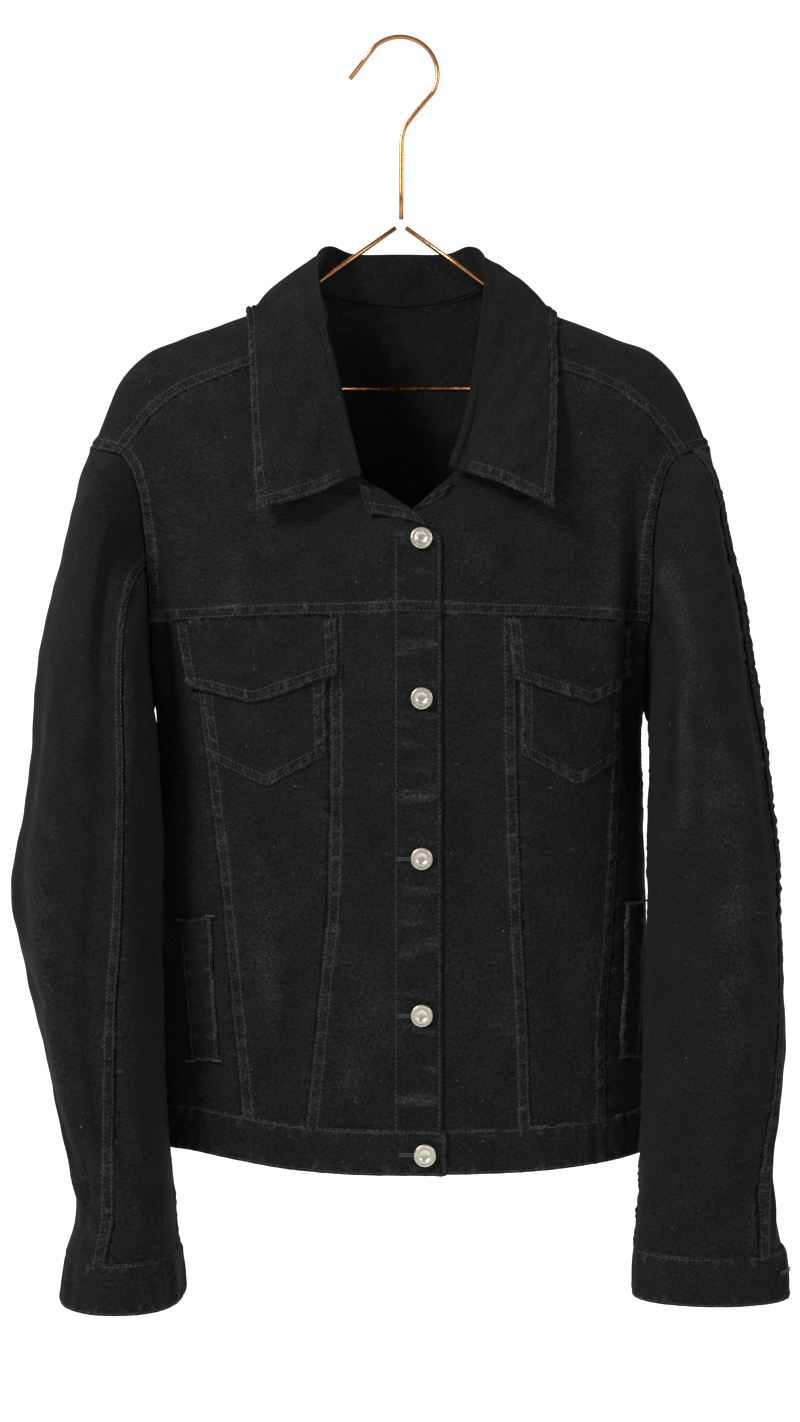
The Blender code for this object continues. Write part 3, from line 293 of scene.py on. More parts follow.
def back_top(x):
    """Height of the back neck's edge, and of the shoulder ridge beside it."""
    inside = np.clip(np.abs(x) / NECK_HALF, 0.0, 1.0)
    neck = BACK_NECK_Z + (SIDE_NECK_Z - BACK_NECK_Z) * inside ** 2
    return np.where(np.abs(x) < NECK_HALF, neck, along(RIDGE, "x", "z", np.abs(x)))


def back_neck_depth(x):
    """How far behind the hanger's plane the back neck's edge lies."""
    return BACK_NECK_DEPTH * (1 - np.clip(np.abs(x) / NECK_HALF, 0.0, 1.0) ** 2) ** 0.7


def back_depth(x, z):
    """Distance of the back's visible face from the hanger's plane."""
    start = back_neck_depth(x)
    full = along(TORSO, "z", "back", z) * round_part(x, z)
    return start + (full - start) * fall(back_top(x) - z)


def angle_at(x, z):
    """The angle round the torso, from the front's middle, of a point at x on the front."""
    ratio = np.clip(np.abs(x) / along(TORSO, "z", "half_width", z), 0.0, 1.0)
    return np.degrees(np.arcsin(ratio ** (FULLNESS / 2))) * np.sign(x)


def torso_face(angle, z):
    """The torso's visible face, at an angle from the front's middle towards +X."""
    turn = np.radians(angle)
    side = np.sin(turn)
    reach = np.sign(side) * np.abs(side) ** (2 / FULLNESS)
    x = along(TORSO, "z", "half_width", z) * reach
    y = np.where(np.cos(turn) > 0, -front_depth(x, z), back_depth(x, z))
    return np.stack([x, y, z], axis=-1)


def moved_out(face, first, second, out):
    """A surface's points moved along its outward normal, found by small steps."""
    step_first = 0.05
    step_second = 0.0005
    across = face(first + step_first, second) - face(first - step_first, second)
    up = face(first, second + step_second) - face(first, second - step_second)
    normal = np.cross(across, up)
    normal /= np.linalg.norm(normal, axis=-1, keepdims=True)
    return face(first, second) + normal * np.asarray(out)[..., None]


def on_torso(angle, z, out=0.0):
    """A point on the torso, moved out."""
    return moved_out(torso_face, angle, z, out + np.zeros_like(z))


def on_front(x, z, out=0.0):
    """A point on the torso's front, moved out."""
    return on_torso(angle_at(x, z), z, out)


def overlap_lift(x):
    """How far the buttonhole side stands off the button side at x."""
    return OVERLAP_LIFT * ramp(x, -0.022, UNDERLAP_EDGE - 0.004)


def polyline(table, share):
    """Points along a table's x and z, at shares of its length."""
    points = np.stack([table["x"], table["z"]], axis=-1)
    lengths = np.linalg.norm(np.diff(points, axis=0), axis=1)
    reached = np.concatenate([[0.0], np.cumsum(lengths)]) / lengths.sum()
    x = np.interp(share, reached, points[:, 0])
    z = np.interp(share, reached, points[:, 1])
    return np.stack([x, z], axis=-1)


def patch(inner, outer, top, bottom, u, v):
    """A point of the flat patch between four edges; u runs outwards and v runs up."""
    u = u[:, None]
    v = v[:, None]
    straight = (1 - u) * inner(v[:, 0]) + u * outer(v[:, 0])
    zero = np.zeros(1)
    one = np.ones(1)
    top_line = (1 - u) * inner(one) + u * outer(one)
    bottom_line = (1 - u) * inner(zero) + u * outer(zero)
    return straight + v * (top(u[:, 0]) - top_line) + (1 - v) * (bottom(u[:, 0]) - bottom_line)


def off_torso(points, margin):
    """Points pushed out of the torso's lower section, to a margin from its face."""
    wide = along(TORSO, "z", "half_width", points[:, 2])
    deep = np.where(points[:, 1] < 0, along(TORSO, "z", "front", points[:, 2]),
                    along(TORSO, "z", "back", points[:, 2]))
    for _ in range(4):
        power = FULLNESS - 1
        level = (np.abs(points[:, 0]) / wide) ** FULLNESS
        level = level + (np.abs(points[:, 1]) / deep) ** FULLNESS - 1
        slope_x = FULLNESS * np.abs(points[:, 0]) ** power / wide ** FULLNESS
        slope_y = FULLNESS * np.abs(points[:, 1]) ** power / deep ** FULLNESS
        slope_x = slope_x * np.sign(points[:, 0])
        slope_y = slope_y * np.sign(points[:, 1])
        steep = np.hypot(slope_x, slope_y)
        push = np.maximum(margin - level / steep, 0.0)
        points = points + np.stack([push * slope_x / steep, push * slope_y / steep,
                                    np.zeros_like(push)], axis=-1)
    return points


# ---------------------------------------------------------------- surfaces of the pieces

SHOULDER_COLUMNS = 8
NECK_COLUMNS = 6


def yoke_surface(u, v):
    """The yoke, from its front seam over the shoulders to its back seam."""
    columns = 2 * SHOULDER_COLUMNS + NECK_COLUMNS
    place = u * columns - columns / 2
    half_neck = NECK_COLUMNS / 2
    share = np.clip((np.abs(place) - half_neck) / SHOULDER_COLUMNS, 0.0, 1.0)
    in_neck = np.clip(place / half_neck, -1.0, 1.0) * NECK_HALF
    side = np.sign(place)
    back = v > 0.5
    across = np.abs(v * 2 - 1) ** 2
    ridge_x = NECK_HALF + (SHOULDER_X - NECK_HALF) * share
    seam_x = NECK_HALF + (YOKE_CORNER_X - NECK_HALF) * share
    seam_z = np.where(back, BACK_YOKE_Z, along(FRONT_YOKE, "x", "z", seam_x)) + SEAM_GAP / 2
    ridge_z = along(RIDGE, "x", "z", ridge_x)
    x = side * (ridge_x + (seam_x - ridge_x) * across)
    z = ridge_z + (seam_z - ridge_z) * across
    neck = np.abs(place) < half_neck
    top = back_top(in_neck)
    x = np.where(neck, in_neck, x)
    z = np.where(neck, top + (seam_z - top) * across, z)
    y = np.where(back, back_depth(x, z), -front_depth(x, z))
    y = np.where(~neck & (across < 1e-9), 0.0, y)
    y = np.where(neck & (across < 1e-9), back_neck_depth(x), y)
    return np.stack([x, y, z], axis=-1)


def armhole_edge(share):
    """The front armhole below the yoke's corner, from share 0 at the corner."""
    return polyline({"x": ARMHOLE["x"], "z": ARMHOLE["z"]}, share)


def chest_height(x):
    """Height of the seam across the chest."""
    return along(CHEST, "x", "z", np.abs(x))


def front_inner_edge(side):
    """The neckline and front edge, from the chest seam (share 0) up to the yoke."""
    collar = COLLAR[side]
    neck = [(side * x, z) for step, x, z in
            zip(collar["step"], collar["neck_x"], collar["neck_z"]) if step > 0.7]
    edge = FRONT_CORNER[side]
    end = edge[-1][0]
    seam = float(along(FRONT_YOKE, "x", "z", NECK_HALF)) - SEAM_GAP
    points = [(side * (NECK_HALF + SEAM_GAP), seam), *neck, *edge,
              (end, float(chest_height(end)) + SEAM_GAP / 2)]
    points.reverse()
    x, z = np.array(points).T
    return {"x": x, "z": z}


def armhole_share_at(z):
    """The share of the armhole's length at which it passes a height."""
    shares = np.linspace(0, 1, 200)
    return float(np.interp(-z, -armhole_edge(shares)[:, 1], shares))


def panel_surface(left_x, right_x, lifted):
    """A front panel under the chest seam, between two seams given as x by height."""
    def angle_across(u, z):
        first = angle_at(left_x(z), z)
        return first + (angle_at(right_x(z), z) - first) * u

    def surface(u, v):
        low = np.full_like(u, HEM["z"].mean())
        high = np.full_like(u, CHEST["z"].mean())
        hem = along(HEM, "angle", "z", angle_across(u, low)) + SEAM_GAP
        top = chest_height(torso_face(angle_across(u, high), high)[:, 0]) - SEAM_GAP / 2
        z = top + (hem - top) * (1 - v)
        angle = angle_across(u, z)
        place = torso_face(angle, z)
        lift = overlap_lift(place[:, 0]) if lifted else 0.0
        return on_torso(angle, z, lift)
    return surface


def armhole_point(side, angle):
    """Where the sleeve starts, by its angle from the outer side, positive to the front."""
    turn = np.abs(angle)
    on_yoke = np.clip(turn / CORNER_ANGLE, 0.0, 1.0) ** 2
    x = np.where(turn < CORNER_ANGLE, SHOULDER_X + (YOKE_CORNER_X - SHOULDER_X) * on_yoke,
                 along(ARMHOLE, "angle", "x", turn))
    z = np.where(turn < CORNER_ANGLE,
                 RIDGE["z"][-1] + (ARMHOLE["z"][0] - RIDGE["z"][-1]) * on_yoke,
                 along(ARMHOLE, "angle", "z", turn))
    y = np.where(angle > 0, -front_depth(x, z), back_depth(x, z))
    y = np.where((turn < 1e-6) | (turn > 179.999), 0.0, y)
    return side * x, y, z


def sleeve_section(side, angle, z):
    """A sleeve's edges, middle and half depth at a height, and the way out at an angle."""
    sizes = [along(SLEEVE[side], "z", name, z) for name in ("inner", "outer", "middle", "half")]
    turn = np.radians(angle)
    power = 2 / SLEEVE_FULLNESS
    out = np.sign(np.cos(turn)) * np.abs(np.cos(turn)) ** power
    ahead = np.sign(np.sin(turn)) * np.abs(np.sin(turn)) ** power
    return *sizes, out, ahead


def sleeve_face(side, angle, share):
    """The sleeve's visible face, from share 0 at the armhole to 1 at the cuff."""
    start_x, start_y, start_z = armhole_point(side, angle)
    start_z = start_z - SEAM_GAP
    start_x = start_x + side * ARMHOLE_GAP
    z = start_z + (CUFF_TOP + SEAM_GAP / 2 - start_z) * share
    inner, outer, middle, half, out, ahead = sleeve_section(side, angle, z)
    narrow = 1 - sleeve_fold(side, angle, z) / half
    full_x = side * ((inner + outer) / 2 + (outer - inner) / 2 * out * narrow)
    full_y = middle - half * ahead * narrow
    blend = 1 - np.exp(-(start_z - z) / SLEEVE_BLEND)
    x = start_x + (full_x - start_x) * blend
    y = start_y + (full_y - start_y) * blend
    points = np.stack([x, y, z], axis=-1)
    away = SLEEVE_MARGIN * blend * ramp(z, UNDERARM_Z + 0.03, UNDERARM_Z - 0.01)
    margin = ARMHOLE_GAP + away
    low = z < UNDERARM_Z + 0.03
    pushed = off_torso(points, margin)
    return np.where(low[:, None], pushed, points)


def sleeve_fold(side, angle, z):
    """Depth of the sleeve's long folds at a place."""
    folds = FOLDS[side]
    total = np.zeros_like(z)
    for centre, width, depth, top, bottom in zip(*folds.values()):
        away = (angle - centre + 180.0) % 360.0 - 180.0
        window = ramp(z, top, top - 0.06) * ramp(z, bottom, bottom + 0.06)
        total = total + depth * np.exp(-(away / width) ** 2) * window
    return total


def cuff_face(side, angle, z):
    """The cuff's visible face."""
    inner, outer, middle, half, out, ahead = sleeve_section(side, angle, z)
    x = side * ((inner + outer) / 2 + (outer - inner) / 2 * out)
    return np.stack([x, middle - half * ahead, z], axis=-1)


def collar_line(step, names):
    """One of the collar's long lines, at signed steps from the middle of the back."""
    points = []
    for name in names:
        left = along(COLLAR[1], "step", name, np.abs(step))
        right = along(COLLAR[-1], "step", name, np.abs(step))
        points.append(np.where(step < 0, right, left))
    return np.stack(points, axis=-1)


def neck_line(step):
    """The neck seam, just clear of the yoke's and the fronts' edges."""
    turn = np.clip(np.abs(step) / SIDE_NECK_STEP, 0.0, 1.0)
    back_x = NECK_HALF * np.sin(turn * np.pi / 2) * np.sign(step)
    back = np.stack([back_x, back_neck_depth(back_x), back_top(back_x) + 0.0010], axis=-1)
    flat = collar_line(step, ("neck_x", "neck_z"))
    x = np.sign(step) * np.maximum(np.abs(flat[:, 0]), 0.001)
    height = np.minimum(flat[:, 1], SIDE_NECK_Z - 0.004)
    front = on_front(x, height, 0.0020)
    blend = ramp(np.abs(step), SIDE_NECK_STEP - 0.01, SIDE_NECK_STEP + 0.10)[:, None]
    return back + (front - back) * blend


def off_shoulders(points, margin):
    """Leaf points lifted to a margin over the shoulders, the fronts and the back."""
    for _ in range(5):
        x = points[:, 0]
        y = points[:, 1]
        z = points[:, 2]
        step = 0.0005
        level = shoulder_level(x, y, z)
        slope = np.stack([shoulder_level(x + step, y, z) - shoulder_level(x - step, y, z),
                          shoulder_level(x, y + step, z) - shoulder_level(x, y - step, z),
                          shoulder_level(x, y, z + step) - shoulder_level(x, y, z - step)],
                         axis=-1) / (2 * step)
        steep = np.linalg.norm(slope, axis=1, keepdims=True)
        push = np.maximum(margin - level / steep[:, 0], 0.0)
        points = points + slope / steep * np.minimum(push, 0.01)[:, None]
    return points


def shoulder_level(x, y, z):
    """Positive outside the torso, nought on its face."""
    front = front_depth(x, z)
    back = back_depth(x, z)
    above_front = np.maximum(z - along(RIDGE, "x", "z", np.abs(x)), 0.0)
    above_back = np.maximum(z - back_top(x), 0.0)
    ahead = np.sqrt(y ** 2 + (2.5 * above_front) ** 2) - front
    behind = np.sqrt(y ** 2 + (2.5 * above_back) ** 2) - back
    return np.where(y < 0, ahead, behind)


def collar_surface(u, v):
    """The collar: up the stand, over the roll and down the leaf."""
    step = 2 * u - 1
    neck = neck_line(step)
    roll = collar_line(step, ("roll_x", "roll_y", "roll_z"))
    edge = collar_line(step, ("edge_x", "edge_y", "edge_z"))
    outward = edge - neck
    outward /= np.linalg.norm(outward, axis=1, keepdims=True)
    rise = roll - (neck + edge) / 2
    rise -= outward * np.sum(rise * outward, axis=1, keepdims=True)
    rise /= np.linalg.norm(rise, axis=1, keepdims=True)
    centre = roll - rise * COLLAR_FOLD
    fold_start = centre - outward * COLLAR_FOLD
    fold_end = centre + outward * COLLAR_FOLD
    stand_share = 2 / COLLAR_ROWS
    fold_share = 7 / COLLAR_ROWS
    on_stand = v < stand_share
    on_fold = (v >= stand_share) & (v < fold_share)
    t = (v / stand_share)[:, None]
    stand = neck + (fold_start - neck) * t
    turn = ((v - stand_share) / (fold_share - stand_share) * np.pi)[:, None]
    fold = centre - outward * COLLAR_FOLD * np.cos(turn) + rise * COLLAR_FOLD * np.sin(turn)
    t = ((v - fold_share) / (1 - fold_share))[:, None]
    leaf = fold_end + (edge - fold_end) * t + rise * 0.006 * np.sin(t * np.pi)
    leaf = off_shoulders(leaf, COLLAR_MARGIN)
    return np.where(on_stand[:, None], stand, np.where(on_fold[:, None], fold, leaf))


def outline_surface(outline, out):
    """A patch with a pointed lower edge; the outline runs inner top, round, outer top."""
    x = outline["x"]
    z = outline["z"]
    lower = {"x": x[1:-1], "z": z[1:-1]}

    def surface(u, v):
        low = polyline(lower, u)
        top_x = x[0] + (x[-1] - x[0]) * u
        top_z = z[0] + (z[-1] - z[0]) * u
        flat_x = low[:, 0] + (top_x - low[:, 0]) * v
        flat_z = low[:, 1] + (top_z - low[:, 1]) * v
        return on_front(flat_x, flat_z, out)
    return surface


def front_frame(x, z, out):
    """A place on the front's face, moved out, and the face's outward direction."""
    here = on_front(np.array([x]), np.array([z]), out)[0]
    further = on_front(np.array([x]), np.array([z]), out + 0.001)[0]
    return here, Vector(further - here).normalized()


# ---------------------------------------------------------------- uneven cloth

SEED = np.random.default_rng(7)
WAVE_COUNT = 7
WAVES = SEED.normal(size=(3, WAVE_COUNT, 3))
PHASES = SEED.uniform(0.0, math.tau, size=(3, WAVE_COUNT))


def uneven(points, length, kind=0):
    """Smooth noise between about -1 and 1, whose waves are about a length apart."""
    total = np.zeros(points.shape[:-1])
    for way, phase in zip(WAVES[kind], PHASES[kind]):
        size = np.linalg.norm(way)
        scale = math.tau / length * (0.6 + 0.35 * size) / size
        total = total + np.sin(points @ way * scale + phase)
    return total / math.sqrt(WAVE_COUNT * 2.0)


def uneven_along(place, length, seed):
    """Noise along one length, the same for equal seeds."""
    total = np.zeros_like(place)
    for number in range(5):
        turn = math.sin(seed * 12.9898 + number * 78.233) * 43758.5453
        phase = (turn - math.floor(turn)) * math.tau
        scale = math.tau / length * (0.55 + 0.27 * number)
        total = total + np.sin(place * scale + phase + seed)
    return total / math.sqrt(2.5)


def crease_height(across, down, creases):
    """Ridges (above 0) and troughs along short curved lines in a surface's own sizes."""
    total = np.zeros_like(across)
    for start_x, start_z, end_x, end_z, width, depth, bow in creases:
        run = np.array([end_x - start_x, end_z - start_z])
        length = np.hypot(*run)
        way = run / length
        off_x = across - start_x
        off_z = down - start_z
        share = (off_x * way[0] + off_z * way[1]) / length
        aside = off_x * way[1] - off_z * way[0]
        middle = np.clip(share, 0.0, 1.0)
        aside = aside - bow * 4 * middle * (1 - middle)
        over = np.maximum(np.maximum(-share, share - 1.0), 0.0) * length
        fade = np.sin(np.clip(middle, 0.02, 0.98) * math.pi) ** 0.6
        total = total + depth * fade * np.exp(-(aside / width) ** 2 - (over / width) ** 2)
    return total


# The fronts' creases: from (x, z), to (x, z), half width, height, bow.
FRONT_CREASES = (
    (0.1800, -0.345, 0.1795, -0.610, 0.0080, -0.0110, 0.003),
    (0.1630, -0.350, 0.1600, -0.520, 0.0120, 0.0030, 0.004),
    (-0.1790, -0.360, -0.1800, -0.600, 0.0070, -0.0060, -0.002),
    (0.1480, -0.300, 0.1520, -0.440, 0.0110, -0.0022, 0.004),
    (-0.1500, -0.310, -0.1440, -0.445, 0.0140, -0.0020, -0.004),
    (-0.0950, -0.300, -0.0850, -0.445, 0.0200, 0.0018, 0.006),
    (0.0900, -0.390, 0.0850, -0.450, 0.0160, -0.0014, 0.003),
    (-0.1250, -0.600, -0.1480, -0.800, 0.0120, -0.0028, 0.006),
    (-0.1050, -0.620, -0.0920, -0.820, 0.0140, 0.0030, -0.005),
    (-0.0600, -0.700, -0.0850, -0.826, 0.0110, -0.0026, 0.005),
    (-0.0300, -0.640, -0.0360, -0.825, 0.0170, 0.0022, 0.003),
    (0.0600, -0.520, 0.0640, -0.720, 0.0160, -0.0020, 0.004),
    (0.0700, -0.680, 0.0740, -0.826, 0.0130, 0.0024, -0.003),
    (0.1200, -0.600, 0.1180, -0.800, 0.0150, -0.0026, 0.004),
    (0.1400, -0.660, 0.1350, -0.820, 0.0110, 0.0024, -0.003),
    (0.1100, -0.745, 0.1480, -0.790, 0.0080, 0.0012, 0.003),
    (-0.1700, -0.620, -0.1520, -0.660, 0.0090, 0.0014, 0.003),
    (-0.0200, -0.560, -0.0440, -0.600, 0.0100, 0.0011, 0.004),
    (0.0350, -0.590, 0.0760, -0.560, 0.0110, 0.0011, 0.003),
    (0.0380, -0.420, 0.0800, -0.405, 0.0090, 0.0010, 0.003))
# The back's, in the same way, seen from the front.
BACK_CREASES = (
    (0.1650, -0.350, 0.1500, -0.560, 0.0130, -0.0050, 0.008),
    (-0.1650, -0.350, -0.1520, -0.540, 0.0120, -0.0055, -0.007),
    (0.1200, -0.360, 0.1080, -0.700, 0.0180, 0.0034, 0.010),
    (-0.1150, -0.350, -0.1000, -0.640, 0.0170, 0.0032, -0.010),
    (0.0500, -0.380, 0.0420, -0.800, 0.0200, -0.0030, 0.006),
    (-0.0420, -0.420, -0.0560, -0.810, 0.0190, -0.0034, -0.006),
    (0.0050, -0.350, 0.0020, -0.620, 0.0210, 0.0026, 0.004),
    (0.1350, -0.620, 0.1450, -0.815, 0.0130, -0.0036, 0.004),
    (-0.1300, -0.600, -0.1380, -0.815, 0.0140, -0.0036, -0.005),
    (0.0900, -0.660, 0.0950, -0.818, 0.0150, 0.0030, 0.003),
    (-0.0880, -0.690, -0.0900, -0.818, 0.0150, 0.0028, -0.003),
    (-0.0600, -0.250, -0.0900, -0.325, 0.0180, -0.0020, 0.004),
    (0.0700, -0.260, 0.0820, -0.325, 0.0180, -0.0020, -0.004))


def torso_crease(points):
    """Creases of the torso at points of its face."""
    x = points[..., 0]
    z = points[..., 2]
    front = points[..., 1] < 0
    ahead = crease_height(x, z, FRONT_CREASES)
    behind = crease_height(x, z, BACK_CREASES)
    soft = 0.0013 * uneven(points, 0.11) + 0.0007 * uneven(points, 0.045, 1)
    return np.where(front, ahead, behind) + soft


# A sleeve's: across in metres round it from its outer side, positive to the front.
SLEEVE_TURN = 0.00094      # metres round a sleeve for one degree
SLEEVE_CREASES = {
    -1: ((0.100, -0.335, 0.098, -0.500, 0.0060, -0.0050, 0.003),
         (0.122, -0.350, 0.124, -0.600, 0.0090, 0.0045, 0.002),
         (0.075, -0.560, 0.050, -0.840, 0.0110, 0.0035, 0.006),
         (0.098, -0.640, 0.080, -0.880, 0.0070, -0.0045, 0.004),
         (0.040, -0.480, 0.030, -0.700, 0.0130, -0.0030, 0.006),
         (0.010, -0.380, 0.020, -0.560, 0.0130, 0.0026, -0.004),
         (0.000, -0.640, 0.040, -0.700, 0.0100, 0.0022, 0.004),
         (0.005, -0.700, 0.060, -0.740, 0.0090, -0.0026, 0.004),
         (0.020, -0.790, 0.050, -0.905, 0.0065, 0.0032, 0.003),
         (0.060, -0.830, 0.040, -0.905, 0.0050, -0.0026, -0.003),
         (0.035, -0.855, 0.075, -0.905, 0.0045, 0.0024, 0.002),
         (0.105, -0.840, 0.110, -0.905, 0.0060, 0.0020, 0.002),
         (-0.040, -0.420, -0.050, -0.640, 0.0120, 0.0040, 0.004),
         (-0.070, -0.560, -0.060, -0.800, 0.0120, -0.0045, -0.005),
         (-0.100, -0.400, -0.110, -0.620, 0.0130, 0.0035, 0.005),
         (-0.125, -0.640, -0.115, -0.880, 0.0100, -0.0035, 0.004),
         (-0.030, -0.840, -0.060, -0.905, 0.0060, 0.0026, 0.003),
         (-0.080, -0.330, -0.085, -0.460, 0.0090, -0.0030, 0.002)),
    1: ((0.140, -0.330, 0.138, -0.600, 0.0055, -0.0060, 0.002),
        (0.116, -0.340, 0.120, -0.640, 0.0090, 0.0050, 0.003),
        (0.036, -0.330, 0.028, -0.700, 0.0060, 0.0030, 0.006),
        (0.048, -0.360, 0.040, -0.660, 0.0080, -0.0026, 0.005),
        (0.090, -0.500, 0.075, -0.860, 0.0180, 0.0034, 0.007),
        (0.108, -0.640, 0.105, -0.880, 0.0120, -0.0030, 0.004),
        (0.060, -0.620, 0.066, -0.880, 0.0120, -0.0026, -0.004),
        (0.030, -0.800, 0.046, -0.905, 0.0060, 0.0028, 0.003),
        (0.040, -0.850, 0.052, -0.908, 0.0045, -0.0026, -0.002),
        (0.056, -0.865, 0.060, -0.908, 0.0045, 0.0024, 0.002),
        (0.020, -0.860, 0.030, -0.908, 0.0050, 0.0026, 0.001),
        (0.130, -0.850, 0.126, -0.905, 0.0060, 0.0018, 0.002),
        (-0.040, -0.420, -0.045, -0.660, 0.0120, 0.0040, 0.004),
        (-0.068, -0.560, -0.060, -0.820, 0.0120, -0.0045, -0.005),
        (-0.105, -0.400, -0.108, -0.640, 0.0130, 0.0035, 0.005),
        (-0.125, -0.620, -0.118, -0.870, 0.0100, -0.0035, 0.004),
        (-0.034, -0.840, -0.058, -0.905, 0.0060, 0.0026, 0.003),
        (-0.080, -0.330, -0.088, -0.470, 0.0090, -0.0030, 0.002))}


# ---------------------------------------------------------------- shells

STITCH_LENGTH = 0.0023
STITCH_STEP = 0.0031
STITCH_RADIUS = 0.00028
EDGE_ROW = 0.0018          # the stitches nearest an edge
INNER_ROW = 0.0082         # the second row
PLACKET_ROW = 0.0332
STITCHES = []
DENIM = []


def grid_normals(points):
    """Outward unit normals of a grid of points, whose columns run across and rows up."""
    across = np.gradient(points, axis=1)
    up = np.gradient(points, axis=0)
    normal = np.cross(across, up)
    size = np.linalg.norm(normal, axis=-1, keepdims=True)
    return normal / np.maximum(size, 1e-12)


def run_lengths(points, axis):
    """Distances along a grid's rows (axis 1) or columns (axis 0)."""
    steps = np.linalg.norm(np.diff(points, axis=axis), axis=-1)
    start = np.zeros_like(np.take(steps, [0], axis=axis))
    return np.concatenate([start, np.cumsum(steps, axis=axis)], axis=axis)


def dip(away, centre, width):
    """A soft bump of height 1 about a distance."""
    return np.exp(-((away - centre) / width) ** 2)


def edge_shape(kind, away, along_edge, seed):
    """Height and wear of a finished edge, by distance from it and place along it."""
    ripple = 0.6 * uneven_along(along_edge, 0.0135, seed)
    ripple = ripple + 0.5 * uneven_along(along_edge + 0.15 * away, 0.0072, seed + 3.1)
    between = dip(away, 0.0050, 0.0036)
    rows_dip = dip(away, EDGE_ROW, 0.0007) + dip(away, INNER_ROW, 0.0008)
    if kind == "fell":
        plate = 1 - ramp(away, INNER_ROW + 0.0006, INNER_ROW + 0.0026)
        height = 0.0010 * plate + 0.00060 * ripple * between - 0.00040 * rows_dip
        height = height - 0.0006 * dip(away, 0.0, 0.0006)
        worn = 0.55 + 0.45 * uneven_along(along_edge, 0.045, seed + 9.0)
        wear_and_highlight = 0.60 * worn * dip(away, 0.0004, 0.0008) + 0.10 * plate
        wear_and_highlight = wear_and_highlight + 0.42 * worn * dip(away, INNER_ROW + 0.0006, 0.0009)
        wear_and_highlight = wear_and_highlight + 0.42 * np.maximum(ripple, 0.0) * between
    elif kind == "turned":
        height = 0.00080 * ripple * between - 0.00040 * rows_dip
        height = height - 0.0009 * dip(away, 0.0, 0.0007)
        height = height + 0.00045 * ripple * dip(away, 0, 0.002)
        band = 1 - ramp(away, INNER_ROW, INNER_ROW + 0.003)
        worn = 0.70 + 0.40 * uneven_along(along_edge, 0.030, seed + 5.0)
        wear_and_highlight = 0.85 * worn * dip(away, 0.0, 0.0009) + 0.12 * band
        wear_and_highlight = wear_and_highlight + 0.50 * np.maximum(ripple, 0.0) * between
    elif kind == "single":
        height = -0.00030 * dip(away, EDGE_ROW, 0.0008) - 0.0008 * dip(away, 0.0, 0.0007)
        height = height + 0.00055 * ripple * dip(away, 0.0040, 0.0040)
        worn = 0.70 + 0.40 * uneven_along(along_edge, 0.035, seed + 5.0)
        wear_and_highlight = 0.80 * worn * dip(away, 0.0, 0.0009) + 0.16 * dip(away, 0.0, 0.004)
        wear_and_highlight = wear_and_highlight + 0.30 * np.maximum(ripple, 0.0) * dip(away, 0.0045, 0.0035)
    elif kind == "placket":
        wide = 0.6 * uneven_along(along_edge + 0.10 * away, 0.030, seed)
        wide = wide + 0.5 * uneven_along(along_edge - 0.2 * away, 0.014, seed + 1.7)
        inside = ramp(away, 0.0, 0.004) * (1 - ramp(away, PLACKET_ROW - 0.004, PLACKET_ROW))
        height = 0.00100 * wide * inside - 0.0009 * dip(away, 0.0, 0.0007)
        height = height - 0.0003 * dip(away, EDGE_ROW, 0.0008)
        height = height - 0.0004 * dip(away, PLACKET_ROW, 0.0010)
        height = height + 0.0005 * (1 - ramp(away, PLACKET_ROW, PLACKET_ROW + 0.002))
        wear_and_highlight = 0.60 * dip(away, 0.0, 0.0009) + 0.34 * np.maximum(wide, 0.0) * inside
    else:
        height = -0.0005 * dip(away, 0.0, 0.0012)
        height = height + 0.00055 * ripple * dip(away, 0.0025, 0.0045)
        wear_and_highlight = 0.24 * np.maximum(ripple, 0.0) * dip(away, 0.003, 0.004)
    return height, wear_and_highlight


ROWS_OF = {"fell": (EDGE_ROW, INNER_ROW), "turned": (EDGE_ROW, INNER_ROW),
           "single": (EDGE_ROW,), "placket": (EDGE_ROW, PLACKET_ROW)}


def contour(points, normals, away, level, axis):
    """The line on a grid at a distance from one edge, with its normals."""
    if axis == 1:
        points = np.swapaxes(points, 0, 1)
        normals = np.swapaxes(normals, 0, 1)
        away = away.T
    rising = away[-1].mean() > away[0].mean()
    if not rising:
        points = points[::-1]
        normals = normals[::-1]
        away = away[::-1]
    lower = np.clip((away < level).sum(axis=0) - 1, 0, away.shape[0] - 2)
    column = np.arange(away.shape[1])
    low = away[lower, column]
    high = away[lower + 1, column]
    share = np.clip((level - low) / np.maximum(high - low, 1e-9), 0.0, 1.0)[:, None]
    line = points[lower, column] * (1 - share) + points[lower + 1, column] * share
    facing = normals[lower, column] * (1 - share) + normals[lower + 1, column] * share
    return line, facing


def add_stitches(line, facing, seed):
    """Thread dashes along a line on the cloth, half sunk in it."""
    reached = run_lengths(line, 0)
    total = reached[-1]
    if total < 2 * STITCH_STEP:
        return
    starts = (np.arange(int(total / STITCH_STEP)) + 0.5) * STITCH_STEP
    starts = starts + 0.0002 * np.sin(starts * 3100.0 + seed)

    def at(values, place):
        return np.stack([np.interp(place, reached, values[:, i]) for i in range(3)], axis=-1)

    first = at(line, starts - STITCH_LENGTH / 2)
    last = at(line, starts + STITCH_LENGTH / 2)
    out = at(facing, starts)
    out /= np.linalg.norm(out, axis=1, keepdims=True)
    STITCHES.append(np.stack([first, last, out], axis=1))


